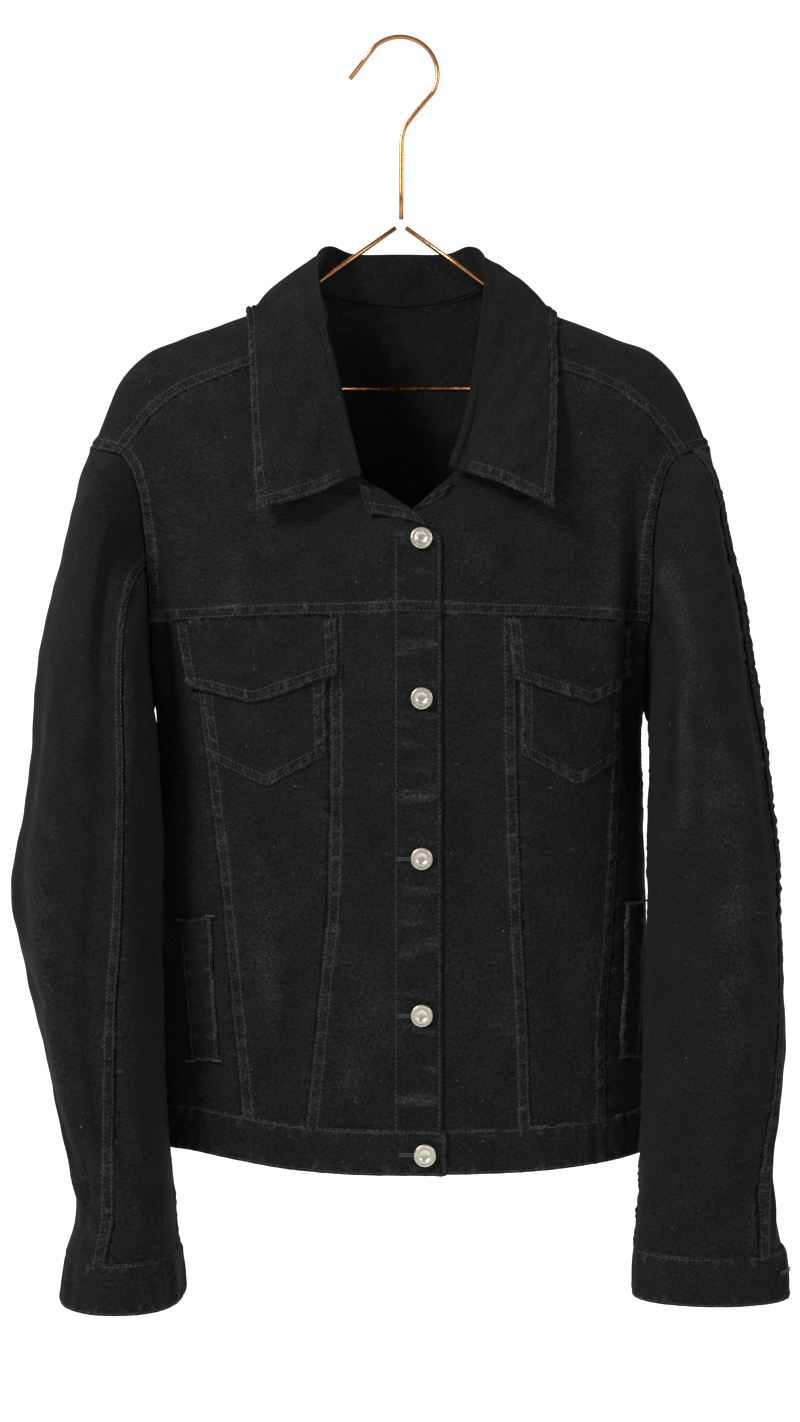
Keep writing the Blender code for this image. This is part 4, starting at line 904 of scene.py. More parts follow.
def shell(name, face_of, cell, thickness, nodes, sides, outward=1, crease=None,
          extra=None, tuck=(0.0, 0.0)):
    """A cloth piece as a closed thin shell; sides says how its four edges are finished.

    tuck is how far the piece runs on under its neighbours below and above, as shares.
    """
    below, above = tuck

    def surface(u, v):
        return face_of(u, v * (1.0 + below + above) - below)

    sample = np.linspace(0.0, 1.0, 9)
    u, v = np.meshgrid(sample, sample)
    rough = surface(u.ravel(), v.ravel()).reshape(9, 9, 3)
    wide = run_lengths(rough, 1)[:, -1].max()
    tall = run_lengths(rough, 0)[-1].max()
    columns = max(int(wide / cell), 6)
    rows_up = max(int(tall / cell), 4)
    u, v = np.meshgrid(np.linspace(0, 1, columns + 1), np.linspace(0, 1, rows_up + 1))
    shape = u.shape
    base = surface(u.ravel(), v.ravel()).reshape(*shape, 3)
    normal = grid_normals(base) * outward
    across = run_lengths(base, 1)
    up = run_lengths(base, 0)
    away = {"start": across, "end": across[:, -1:] - across, "low": up, "high": up[-1:] - up}
    height = np.zeros(shape)
    wear_and_highlight = np.zeros(shape)
    if crease is not None:
        height = height + crease(base, u, v)
        # Painted highlight: the ridges of the creases and soft bumps are made paler here, as if light
        # caught them.
        wear_and_highlight = np.clip(height / 0.012, 0.0, 0.35)
    for number, (side, kind) in enumerate(sides.items()):
        place = up if side in ("start", "end") else across
        seed = sum(map(ord, name)) * 0.37 + number * 2.3
        rise, worn = edge_shape(kind, away[side], place, seed)
        if extra is not None:
            share = extra(side, u, v)
            rise = rise * share
            worn = worn * share
        height = height + rise
        # Real wear of the finished edges joins the painted highlight of the ridges in one mask.
        wear_and_highlight = np.maximum(wear_and_highlight, worn)
    face = base + normal * height[..., None]
    normal = grid_normals(face) * outward
    for number, (side, kind) in enumerate(sides.items()):
        for level in ROWS_OF.get(kind, ()):
            axis = 1 if side in ("start", "end") else 0
            line, facing = contour(face, normal, away[side], level, axis)
            keep = np.ones(len(line), dtype=bool)
            for other, other_kind in sides.items():
                crosses = (other in ("start", "end")) != (side in ("start", "end"))
                if crosses and other_kind in ("turned", "single", "placket"):
                    margin, _ = contour(away[other][..., None].repeat(3, axis=-1), normal,
                                        away[side], level, axis)
                    keep &= margin[:, 0] >= EDGE_ROW
            if extra is not None:
                share = extra(side, u, v)[..., None].repeat(3, axis=-1)
                shown, _ = contour(share, normal, away[side], level, axis)
                keep &= shown[:, 0] > 0.5
            if keep.sum() > 3:
                add_stitches(line[keep], facing[keep], seed=level * 900 + number)
    item = build_shell("cloth_" + name, face, normal, thickness, across, up, wear_and_highlight, outward)
    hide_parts(*nodes)
    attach(item, "root")
    area = float(np.linalg.norm(np.cross(np.diff(face, axis=1)[:-1],
                                         np.diff(face, axis=0)[:, :-1]), axis=-1).sum())
    width = float(across[:, -1].max())
    length = float(up[-1].max())
    area = round(min(area, width * length) * 0.9995, 5)
    width = round(width, 4)
    length = round(length, 4)
    DENIM.append(item)
    FLAT_SIZES.append((name, width, length, area))


FLAT_SIZES = []


def build_shell(name, face, normal, thickness, across, up, wear_and_highlight, outward):
    """A closed mesh from a face grid: the face, the wrong side and a rounded rim."""
    rows_up, columns = face.shape[:2]
    back = face - normal * thickness
    count = rows_up * columns
    index = np.arange(count).reshape(rows_up, columns)
    quads = np.stack([index[:-1, :-1], index[:-1, 1:], index[1:, 1:], index[1:, :-1]], axis=-1)
    quads = quads.reshape(-1, 4)
    ring = np.concatenate([index[0, :-1], index[:-1, -1], index[-1, :0:-1], index[:0:-1, 0]])
    inset = np.zeros_like(face)
    inset[0] += face[0] - face[1]
    inset[-1] += face[-1] - face[-2]
    inset[:, 0] += face[:, 0] - face[:, 1]
    inset[:, -1] += face[:, -1] - face[:, -2]
    push = inset.reshape(-1, 3)[ring]
    push /= np.maximum(np.linalg.norm(push, axis=1, keepdims=True), 1e-12)
    flat_face = face.reshape(-1, 3)
    flat_back = back.reshape(-1, 3)
    rim = (flat_face[ring] + flat_back[ring]) / 2 + push * thickness * 0.3
    places = np.concatenate([flat_face, flat_back, rim])
    rim_index = 2 * count + np.arange(len(ring))
    following = np.roll(np.arange(len(ring)), -1)
    upper = np.stack([ring, rim_index, rim_index[following], ring[following]], axis=-1)
    lower = np.stack([rim_index, ring + count, ring[following] + count,
                      rim_index[following]], axis=-1)
    faces = np.concatenate([quads, quads[:, ::-1] + count, upper, lower])
    if outward < 0:
        faces = faces[:, ::-1]
    mesh = bpy.data.meshes.new(name)
    mesh.vertices.add(len(places))
    mesh.vertices.foreach_set("co", places.astype(np.float32).ravel())
    mesh.loops.add(faces.size)
    mesh.loops.foreach_set("vertex_index", faces.astype(np.int32).ravel())
    mesh.polygons.add(len(faces))
    mesh.polygons.foreach_set("loop_start", np.arange(0, faces.size, 4, dtype=np.int32))
    mesh.polygons.foreach_set("loop_total", np.full(len(faces), 4, dtype=np.int32))
    mesh.update(calc_edges=True)
    layout = np.stack([across.ravel(), up.ravel()], axis=-1)
    layout = np.concatenate([layout, layout, layout[ring]])
    layer = mesh.uv_layers.new(name="Cut")
    layer.data.foreach_set("uv", layout[faces.ravel()].astype(np.float32).ravel())
    # Point attribute for the denim's paler colour: real wear at seams and edges, and painted highlight
    # on the creases' ridges.
    shade = np.clip(wear_and_highlight, 0.0, 1.2).ravel()
    shade = np.concatenate([shade, shade * 0.4, shade[ring] * 0.9 + 0.05])
    mark = mesh.attributes.new("wear_and_highlight", "FLOAT", "POINT")
    mark.data.foreach_set("value", shade.astype(np.float32))
    mesh.shade_smooth()
    item = bpy.data.objects.new(name, mesh)
    bpy.context.scene.collection.objects.link(item)
    return item


# ---------------------------------------------------------------- cloth pieces

# The sides of a shell's cells: on small pieces, on panels and on the back.
FINE = 0.0020
MEDIUM = 0.0029
COARSE = 0.0040
STRAIGHT_EDGE = {-1: 0.27, 1: 0.36}    # share of a front's inner edge below the neckline
# How far a piece runs on under its neighbours, below and above, as shares of its length.
PANEL_TUCK = (0.012, 0.008)
BACK_TUCK = (0.012, 0.006)
SLEEVE_TUCK = (0.008, 0.006)
ALL_ROUND = {"start": "single", "end": "single", "low": "single", "high": "single"}


def torso_bumps(base, u, v):
    """The creases of a piece of the torso."""
    return torso_crease(base)


def make_yoke():
    """The yoke: one shell over each shoulder, and one between them across the back."""
    columns = 2 * SHOULDER_COLUMNS + NECK_COLUMNS
    inner = SHOULDER_COLUMNS / columns
    for name, side in SIDES.items():
        first = 0.0 if side < 0 else 1.0 - inner

        def surface(u, v, first=first):
            return yoke_surface(first + inner * u, v)

        armhole = "start" if side < 0 else "end"
        ends = {"low": "fell", "high": "fell", armhole: "fell"}
        shell("yoke_shoulder_" + name, surface, MEDIUM, SINGLE, ["yoke"], ends,
              crease=torso_bumps)

    def middle(u, v):
        return yoke_surface(inner + (1.0 - 2 * inner) * u, 0.5 + v / 2)

    shell("yoke_back", middle, MEDIUM, SINGLE, ["yoke"], {"high": "fell"},
          crease=torso_bumps)


def make_upper_front(name, side):
    """The front above the chest seam."""
    edge = front_inner_edge(side)
    low = armhole_share_at(float(chest_height(0.19)) + SEAM_GAP / 2)

    def inner(v):
        return polyline(edge, v)

    def outer(v):
        points = armhole_edge(low * (1 - v))
        return np.stack([side * (points[:, 0] - SEAM_GAP), points[:, 1]], axis=-1)

    def top(u):
        x = NECK_HALF + SEAM_GAP + (YOKE_CORNER_X - NECK_HALF - 2 * SEAM_GAP) * u
        return np.stack([side * x, along(FRONT_YOKE, "x", "z", x) - SEAM_GAP / 2], axis=-1)

    def bottom(u):
        ends = inner(np.zeros(1))[0], outer(np.zeros(1))[0]
        x = ends[0][0] + (ends[1][0] - ends[0][0]) * u
        return np.stack([x, chest_height(x) + SEAM_GAP / 2], axis=-1)

    def surface(u, v):
        flat = patch(inner, outer, top, bottom, u, v)
        lift = overlap_lift(flat[:, 0]) if side < 0 else 0.0
        return on_front(flat[:, 0], flat[:, 1], lift)

    straight = STRAIGHT_EDGE[side]

    def only(edge_name, u, v):
        if edge_name != "start":
            return np.ones_like(u)
        return 1 - ramp(v, straight - 0.03, straight + 0.01)

    kind = "placket" if side < 0 else "turned"
    shell("front_upper_" + name, surface, MEDIUM, SINGLE, ["front_upper_" + name],
          {"start": kind, "low": "fell", "end": "fell", "high": "plain"},
          outward=side, crease=torso_bumps, extra=only)


def make_lower_fronts(name, side):
    """Three panels on each side: by the opening, under the pocket and at the side."""
    nudge = side * SEAM_GAP / 2

    def seam(table, gap):
        return lambda z: along(table, "z", "x", z) + gap

    def opening(z):
        return np.full_like(z, OVERLAP_EDGE if side < 0 else UNDERLAP_EDGE)

    def side_seam(z):
        x = along(TORSO, "z", "half_width", z)
        armhole = np.interp(-z, -ARMHOLE["z"], ARMHOLE["x"]) - SEAM_GAP
        return side * np.where(z > UNDERARM_Z, armhole, x)

    kind = "placket" if side < 0 else "turned"
    strips = (
        ("front_centre_", opening, seam(INNER_SEAM[side], -nudge), {"start": kind, "end": "fell"}),
        ("front_pocket_", seam(INNER_SEAM[side], nudge), seam(OUTER_SEAM[side], -nudge),
         {"start": "plain", "end": "fell"}),
        ("front_side_", seam(OUTER_SEAM[side], nudge), side_seam,
         {"start": "plain", "end": "plain"}))
    for prefix, near, far, sides in strips:
        shell(prefix + name, panel_surface(near, far, lifted=side < 0), MEDIUM, SINGLE,
              [prefix + name], {**sides, "high": "plain", "low": "plain"}, outward=side,
              crease=torso_bumps, tuck=PANEL_TUCK)


def make_back():
    """The back below the yoke, from one side seam to the other."""
    def surface(u, v):
        angle = 90.0 + 180.0 * u
        wrapped = np.where(angle > 180, angle - 360, angle)
        hem = along(HEM, "angle", "z", wrapped) + SEAM_GAP / 2
        top = BACK_YOKE_Z - SEAM_GAP / 2
        z = hem + (top - hem) * v
        edge = np.interp(-z, -ARMHOLE["z"], ARMHOLE["x"]) - ARMHOLE_GAP
        reach = np.where(z > UNDERARM_Z, edge, along(TORSO, "z", "half_width", z))
        turned = 180.0 + (angle - 180.0) / 90.0 * angle_at(reach, z)
        return on_torso(turned, z)

    shell("back_panel", surface, COARSE, SINGLE, ["back_panel"],
          {"start": "fell", "end": "fell", "high": "plain", "low": "plain"},
          crease=torso_bumps, tuck=BACK_TUCK)


def make_waistband():
    """One strip round the hem; its buttonhole end lies over its button end."""
    middle = np.array([BAND_BUTTON[1]])
    start = float(angle_at(np.array([UNDERLAP_EDGE]), middle)[0])
    end = 360.0 + float(angle_at(np.array([BAND_END]), middle)[0])
    first, last = BAND_LAP

    def surface(u, v):
        angle = start + (end - start) * u
        wrapped = (angle + 180.0) % 360.0 - 180.0
        top = along(HEM, "angle", "z", wrapped) - SEAM_GAP / 2
        z = top - BAND_HEIGHT * (1 - v)
        lift = BAND_OUT + BAND_LIFT * ramp(angle, first, last)
        return on_torso(wrapped, z, lift)

    def bumps(base, u, v):
        ripple = uneven_along(u * 1.05, 0.020, 5.0) * np.sin(v * np.pi)
        return 0.6 * torso_crease(base) * (0.3 + 0.7 * v) + 0.0004 * ripple

    shell("waistband", surface, FINE, DOUBLE, ["waistband"], ALL_ROUND, crease=bumps)


def make_sleeve(name, side):
    """Two pieces: between the vent seam and the underarm seam, each way round."""
    gap_degrees = 0.45

    def vent(share):
        z = UNDERARM_Z + 0.17 + (CUFF_TOP - UNDERARM_Z - 0.17) * share
        return along(VENT_SEAM[side], "z", "angle", z)

    def upper_angle(u, v):
        first = UNDER_SEAM + gap_degrees
        return first + (vent(1 - v) - gap_degrees - first) * u

    def under_angle(u, v):
        last = UNDER_SEAM + 360.0 - gap_degrees
        first = vent(1 - v) + gap_degrees
        return (first + (last - first) * u + 180.0) % 360.0 - 180.0

    for prefix, angles, ends in (
            ("sleeve_upper_", upper_angle, {"end": "fell", "start": "plain"}),
            ("sleeve_under_", under_angle, {"start": "plain", "end": "plain"})):

        def surface(u, v, angles=angles):
            return sleeve_face(side, angles(u, v), 1 - v)

        def bumps(base, u, v, angles=angles):
            across = angles(u, v) * SLEEVE_TURN
            creased = crease_height(across, base[..., 2], SLEEVE_CREASES[side])
            soft = 0.0014 * uneven(base, 0.10, 2) + 0.0007 * uneven(base, 0.040, 1)
            return (creased + soft) * ramp(v, 1.0, 0.97)

        shell(prefix + name, surface, MEDIUM, SINGLE, [prefix + name],
              {**ends, "high": "plain", "low": "plain"}, outward=-side, crease=bumps,
              tuck=SLEEVE_TUCK)


def make_cuff(name, side):
    """A strip round the wrist, whose buttonhole end laps over its button end behind."""
    def surface(u, v):
        angle = CUFF_END + (360.0 + CUFF_LAP) * u
        z = CUFF_BOTTOM + (CUFF_TOP - SEAM_GAP / 2 - CUFF_BOTTOM) * v
        lift = CUFF_OUT + CUFF_LIFT * ramp(angle, CUFF_END + 46.0, CUFF_END + 21.0)
        place = cuff_face(side, angle, z)
        centre = cuff_face(side, angle + 180.0, z)
        outward = place - (place + centre) / 2
        outward /= np.linalg.norm(outward, axis=1, keepdims=True)
        return place + outward * lift[:, None]

    def bumps(base, u, v):
        ripple = uneven_along(u * 0.29, 0.022, 3.0 + side) * np.sin(v * np.pi)
        return 0.0007 * ripple + 0.0010 * uneven(base, 0.06)

    shell("cuff_" + name, surface, FINE, DOUBLE, ["cuff_" + name], ALL_ROUND,
          outward=-side, crease=bumps)


def make_collar():
    """One folded sheet round the neck, stitched near its edge."""
    folded = 7 / COLLAR_ROWS

    def surface(u, v):
        share = np.interp(v, (0.0, 0.26, 0.38, 1.0), (0.0, 2 / COLLAR_ROWS, folded, 1.0))
        return collar_surface(u, share)

    def bumps(base, u, v):
        leaf = ramp(v, 0.38, 0.50)
        soft = 0.0016 * uneven(base, 0.055, 1) + 0.0009 * uneven(base, 0.024, 2)
        return soft * leaf

    def only(edge_name, u, v):
        if edge_name in ("start", "end"):
            return ramp(v, 0.42, 0.48)
        return np.ones_like(u)

    shell("collar", surface, FINE, DOUBLE, ["collar"],
          {"high": "turned", "start": "turned", "end": "turned"}, crease=bumps, extra=only)


def make_pockets(name, side):
    """Chest pocket, its flap over it, and the hand pocket's welt."""
    pocket_out = SINGLE + LAYER_GAP
    flap_out = pocket_out + DOUBLE + LAYER_GAP

    def laid(base, u, v):
        return torso_crease(base) + 0.0003 * uneven(base, 0.030, 2)

    def flap_bumps(base, u, v):
        lies = 0.0012 * np.sin(v * np.pi / 2)
        waves = uneven_along(base[..., 2] + 0.2 * base[..., 0], 0.018, side + 4.0)
        middle = np.sin(u * np.pi) * np.sin(v * np.pi)
        return torso_crease(base) - lies + 0.0007 * waves * middle

    sewn = {"start": "turned", "end": "turned", "low": "turned"}
    shell("pocket_" + name, outline_surface(POCKET[side], pocket_out), FINE, SINGLE,
          ["pocket_" + name], sewn, outward=side, crease=laid)
    shell("pocket_flap_" + name, outline_surface(FLAP[side], flap_out), FINE, DOUBLE,
          ["pocket_flap_" + name], {**sewn, "high": "plain"}, outward=side,
          crease=flap_bumps)
    shell("welt_" + name, outline_surface(WELT[side], DOUBLE + LAYER_GAP), FINE, DOUBLE,
          ["welt_" + name], ALL_ROUND, outward=side, crease=laid)


def make_corners():
    """The top corners of the fronts, turned out over them."""
    for name, side in SIDES.items():
        x = CORNER[side]["x"]
        z = CORNER[side]["z"]
        out = (OVERLAP_LIFT if side < 0 else 0.0) + SINGLE + LAYER_GAP

        def surface(u, v, x=x, z=z, out=out):
            low = polyline({"x": x[1:4], "z": z[1:4]}, u)
            high = polyline({"x": x[[0, 4, 3]], "z": z[[0, 4, 3]]}, u * 0.92)
            flat = low + (high - low) * v[:, None]
            return on_front(flat[:, 0], flat[:, 1], out)

        shell("turned_corner_" + name, surface, FINE, SINGLE, ["turned_corner_" + name],
              {"low": "turned", "high": "plain"}, outward=-side)


make_yoke()
for side_name, side_sign in SIDES.items():
    make_upper_front(side_name, side_sign)
    make_lower_fronts(side_name, side_sign)
    make_sleeve(side_name, side_sign)
    make_cuff(side_name, side_sign)
    make_pockets(side_name, side_sign)
make_back()
make_waistband()
make_collar()
make_corners()


# ---------------------------------------------------------------- thread and metal

def mesh_object(name, places, faces):
    """A smooth mesh object, linked to the scene."""
    mesh = bpy.data.meshes.new(name)
    mesh.from_pydata([tuple(map(float, place)) for place in places], [],
                     [tuple(map(int, face)) for face in faces])
    mesh.shade_smooth()
    item = bpy.data.objects.new(name, mesh)
    bpy.context.scene.collection.objects.link(item)
    return item


def fitted(item, nodes=()):
    """An object that rides on the frame, in place of the frame's nodes if it has any."""
    if nodes:
        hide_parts(*nodes)
    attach(item, "root")
    return item


def make_stitches(name, dashes):
    """Every dash of thread as a short rounded bar."""
    radius = STITCH_RADIUS
    first, last, out = dashes[:, 0], dashes[:, 1], dashes[:, 2]
    run = last - first
    length = np.linalg.norm(run, axis=1, keepdims=True)
    run = run / np.maximum(length, 1e-9)
    aside = np.cross(run, out)
    aside /= np.maximum(np.linalg.norm(aside, axis=1, keepdims=True), 1e-9)
    rings = ((0.0, 0.15, -0.2), (0.2, 0.85, 0.25), (0.8, 0.85, 0.25), (1.0, 0.15, -0.2))
    corners = ((-1.0, 0.0), (0.0, 0.9), (1.0, 0.0))
    places = []
    for share, swell, rise in rings:
        centre = first + run * length * share + out * radius * rise
        for across, up in corners:
            places.append(centre + radius * swell * (aside * across * 1.25 + out * up))
    places = np.stack(places, axis=1).reshape(-1, 3)
    count = len(corners)
    faces = []
    for ring in range(len(rings) - 1):
        for corner in range(count - 1):
            low = ring * count + corner
            faces.append((low, low + 1, low + 1 + count, low + count))
    faces = np.array(faces)
    step = len(rings) * count
    every = (np.arange(len(first))[:, None, None] * step + faces[None]).reshape(-1, 4)
    return fitted(mesh_object(name, places, every))


def bar_tack(place, run, out, length, width):
    """A dense zigzag of thread across a seam's end."""
    aside = np.cross(run, out)
    count = int(length / 0.00042)
    dashes = []
    for number in range(count):
        share = (number + 0.5) / count - 0.5
        centre = place + run * length * share + out * 0.00012
        lean = run * 0.00022 * (-1) ** number
        dashes.append([centre - aside * width / 2 - lean, centre + aside * width / 2 + lean,
                       out])
    STITCHES.append(np.array(dashes))


def buttonhole(place, run, out, length):
    """A thread-bound slit between two dense rows, its opening a painted shadow."""
    aside = np.cross(run, out)
    for offset in (-0.00085, 0.00085):
        centre = place + aside * offset
        bar_tack(centre, run, out, length, 0.00115)
    bar_tack(place - run * length / 2, aside, out, 0.0029, 0.0012)
    slit = []
    for end in (-0.42, 0.42):
        slit.append(place + run * length * end + out * 0.00008)
    # The opening is drawn as painted shadow, a dark sheet just over the cloth.
    SLIT_SHADOWS.append((slit[0], slit[1], aside))


SLIT_SHADOWS = []
HOLE_LENGTH = 0.0165
CUFF_HOLE_LENGTH = 0.0150
FREE_HOLE_ANGLE = 24.0     # of the left cuff's free buttonhole, from its outer side


def facing_at(x, z, out):
    """A place on the front's face with its directions across and outward, as arrays."""
    here, facing = front_frame(x, z, out)
    here = here + np.array(facing) * float(torso_crease(here[None, :])[0])
    out_way = np.array(facing)
    run = np.cross(np.array([0.0, 0.0, 1.0]), out_way)
    run = -run / np.linalg.norm(run)
    return here, run, out_way


def make_details():
    """Buttonholes on the buttonhole side, and bar tacks where seams take the strain."""
    hole_x = 0.0060
    for z in BUTTON_Z:
        place, run, out = facing_at(hole_x, z - 0.0004, OVERLAP_LIFT)
        buttonhole(place + out * 0.00025, run, out, HOLE_LENGTH)
    place, run, out = facing_at(hole_x + 0.0015, BAND_BUTTON[1], BAND_OUT + BAND_LIFT)
    buttonhole(place + out * 0.0003, run, out, HOLE_LENGTH)
    for side in SIDES.values():
        outline = WELT[side]
        for x, z in zip(outline["x"], outline["z"]):
            place, run, out = facing_at(x, z, DOUBLE + LAYER_GAP + 0.0002)
            bar_tack(place, run, out, 0.0075, 0.0018)


def make_cuff_holes():
    """A buttonhole under each cuff's button, and a free one nearer the front on the left."""
    for side, turn in ((-1, CUFF_END + CUFF_BUTTON), (1, CUFF_END + CUFF_BUTTON), (1, FREE_HOLE_ANGLE)):
        z = np.array([(CUFF_TOP + CUFF_BOTTOM) / 2 + 0.003])
        here = cuff_face(side, np.array([turn]), z)[0]
        ahead = cuff_face(side, np.array([turn + 2.0]), z)[0] - here
        run = ahead / np.linalg.norm(ahead)
        out = np.cross(run, np.array([0.0, 0.0, -float(side)]))
        out /= np.linalg.norm(out)
        lift = CUFF_OUT + CUFF_LIFT * (turn < 0) + 0.0006
        buttonhole(here + out * lift, run, out, CUFF_HOLE_LENGTH)


def make_slit_shadows():
    """Painted shadow in the buttonholes' openings: thin dark sheets just over the cloth."""
    places = []
    faces = []
    for first, last, aside in SLIT_SHADOWS:
        low = len(places)
        half = aside * 0.00042
        places += [first - half, last - half, last + half, first + half]
        faces.append((low, low + 1, low + 2, low + 3))
    return fitted(mesh_object("buttonhole_slit_shadows", places, faces))


def make_button(name, node, facing_from, seed):
    """A shank button: dished middle, a raised ring of fine ticks and a rolled rim."""
    radius = BUTTON_RADIUS
    thick = BUTTON_THICK
    profile = ((0.0, thick - 0.00095), (0.16, thick - 0.00092), (0.34, thick - 0.00078),
               (0.44, thick - 0.00050), (0.49, thick - 0.00010), (0.53, thick + 0.00008),
               (0.57, thick - 0.00002), (0.62, thick - 0.00016), (0.70, thick - 0.00018),
               (0.78, thick - 0.00016), (0.84, thick - 0.00004), (0.89, thick + 0.00006),
               (0.95, thick - 0.00008), (0.985, thick - 0.00045), (1.0, thick - 0.00100),
               (0.985, thick - 0.00160), (0.95, 0.00040), (0.88, 0.00010), (0.0, 0.00010))
    sides = 96
    turns = np.linspace(0.0, math.tau, sides, endpoint=False)
    places = [(0.0, 0.0, profile[0][1])]
    for share, height in profile[1:-1]:
        for turn in turns:
            tick = 0.0
            if 0.60 < share < 0.80:
                tick = 0.00012 * (math.cos(turn * 24 + seed) > 0.25)
            places.append((radius * share * math.cos(turn), radius * share * math.sin(turn),
                           height + tick))
    places.append((0.0, 0.0, profile[-1][1]))
    faces = []
    for number in range(sides):
        after = (number + 1) % sides
        faces.append((0, 1 + number, 1 + after))
        for ring in range(len(profile) - 3):
            low = 1 + ring * sides
            faces.append((low + number, low + sides + number, low + sides + after,
                          low + after))
        low = 1 + (len(profile) - 3) * sides
        faces.append((low + number, len(places) - 1, low + after))
    item = mesh_object(name, places, faces)
    place, facing = facing_from
    item.location = Vector(place)
    item.rotation_mode = "QUATERNION"
    item.rotation_quaternion = Vector(facing).to_track_quat("Z", "Y")
    bpy.context.view_layer.update()
    return fitted(item, (node,))


def make_buttons():
    """Five down the front and one on each cuff, as in the frame."""
    on_cloth = 0.0008
    items = []
    for number, z in enumerate(BUTTON_Z, start=1):
        frame_of = front_frame(BUTTON_X, z, OVERLAP_LIFT + on_cloth)
        name = "button_%d" % number
        items.append(make_button("metal_" + name, name, frame_of, number * 1.7))
    frame_of = front_frame(*BAND_BUTTON, BAND_OUT + BAND_LIFT + on_cloth)
    name = "button_%d" % (len(BUTTON_Z) + 1)
    items.append(make_button("metal_" + name, name, frame_of, 0.4))
    for name, side in SIDES.items():
        angle = np.array([CUFF_END + CUFF_BUTTON])
        z = np.array([(CUFF_TOP + CUFF_BOTTOM) / 2])
        here = cuff_face(side, angle, z)[0]
        tangent = Vector(cuff_face(side, angle + 2.0, z)[0] - cuff_face(side, angle - 2.0, z)[0])
        facing = tangent.cross(Vector((0.0, 0.0, -side))).normalized()
        place = Vector(here) + facing * (CUFF_OUT + CUFF_LIFT + on_cloth)
        node = "cuff_button_" + name
        items.append(make_button("metal_" + node, node, (place, facing), 0.9))
    return items


def round_bend(points, radius=0.010, steps=6):
    """A path whose inner corners are replaced by short curves."""
    points = [np.array(point) for point in points]
    path = [points[0]]
    for before, corner, after in zip(points, points[1:], points[2:]):
        reach = min(radius, 0.45 * np.linalg.norm(corner - before),
                    0.45 * np.linalg.norm(after - corner))
        start = corner + (before - corner) / np.linalg.norm(before - corner) * reach
        end = corner + (after - corner) / np.linalg.norm(after - corner) * reach
        for share in np.linspace(0.0, 1.0, steps):
            path.append((1 - share) ** 2 * start + 2 * share * (1 - share) * corner
                        + share ** 2 * end)
    path.append(points[-1])
    return np.array(path)


def tube(path, radius, sides=14):
    """Places and faces of a round wire along a path in the hanger's plane."""
    path = np.stack([path[:, 0], np.zeros(len(path)), path[:, 1]], axis=-1)
    run = np.gradient(path, axis=0)
    run /= np.linalg.norm(run, axis=1, keepdims=True)
    ahead = np.array([0.0, 1.0, 0.0])
    aside = np.cross(run, ahead)
    places = []
    for turn in np.linspace(0.0, math.tau, sides, endpoint=False):
        places.append(path + radius * (math.cos(turn) * ahead + math.sin(turn) * aside))
    places = np.stack(places, axis=1).reshape(-1, 3)
    faces = []
    for row in range(len(path) - 1):
        for side in range(sides):
            after = (side + 1) % sides
            low = row * sides
            faces.append((low + side, low + after, low + sides + after, low + sides + side))
    faces.append(tuple(range(sides))[::-1])
    faces.append(tuple(range(len(places) - sides, len(places))))
    return places, faces


def make_hanger():
    """The copper wire hanger: hook, stem, arms and bar in one piece of wire."""
    first, last = HOOK_ARC
    arc = []
    for turn in np.linspace(last, first, 48):
        arc.append((HOOK_CENTRE[0] + HOOK_RADIUS * math.cos(math.radians(turn)),
                    HOOK_CENTRE[1] + HOOK_RADIUS * math.sin(math.radians(turn))))
    inside = np.linspace(NECK_HALF, ARM_END, 24)
    heights = along(RIDGE, "x", "z", inside) - ARM_BELOW_RIDGE
    bend_middle = (heights[-1] + BAR_Z) / 2
    bend_radius = (heights[-1] - BAR_Z) / 2
    bend = []
    start, end = BEND_ARC
    for turn in np.linspace(start, end, 18):
        across = ARM_END + bend_radius * (math.cos(math.radians(turn)) - BEND_INSET)
        bend.append((across, bend_middle + bend_radius * math.sin(math.radians(turn))))
    paths = [round_bend([HOOK_TIP, *arc, *STEM])]
    for side in SIDES.values():
        inner = ARM_START - ARM_STAGGER * (side < 0)
        path = [(inner, ARM_START_Z), ARM_NECK, *zip(inside, heights), *bend, (0.0, BAR_Z)]
        paths.append(round_bend(path) * np.array([side, 1.0]))
    places = []
    faces = []
    for path in paths:
        more_places, more_faces = tube(path, WIRE)
        low = len(places)
        places += list(more_places)
        faces += [tuple(low + corner for corner in face) for face in more_faces]
    return fitted(mesh_object("hanger_wire", places, faces),
                  ("hanger_hook", "hanger_arm_right", "hanger_arm_left", "hanger_bar"))


make_details()
make_cuff_holes()
thread_mesh = make_stitches("thread_dark", np.concatenate(STITCHES))
slit_shadows = make_slit_shadows()
buttons = make_buttons()
hanger = make_hanger()


# ---------------------------------------------------------------- materials

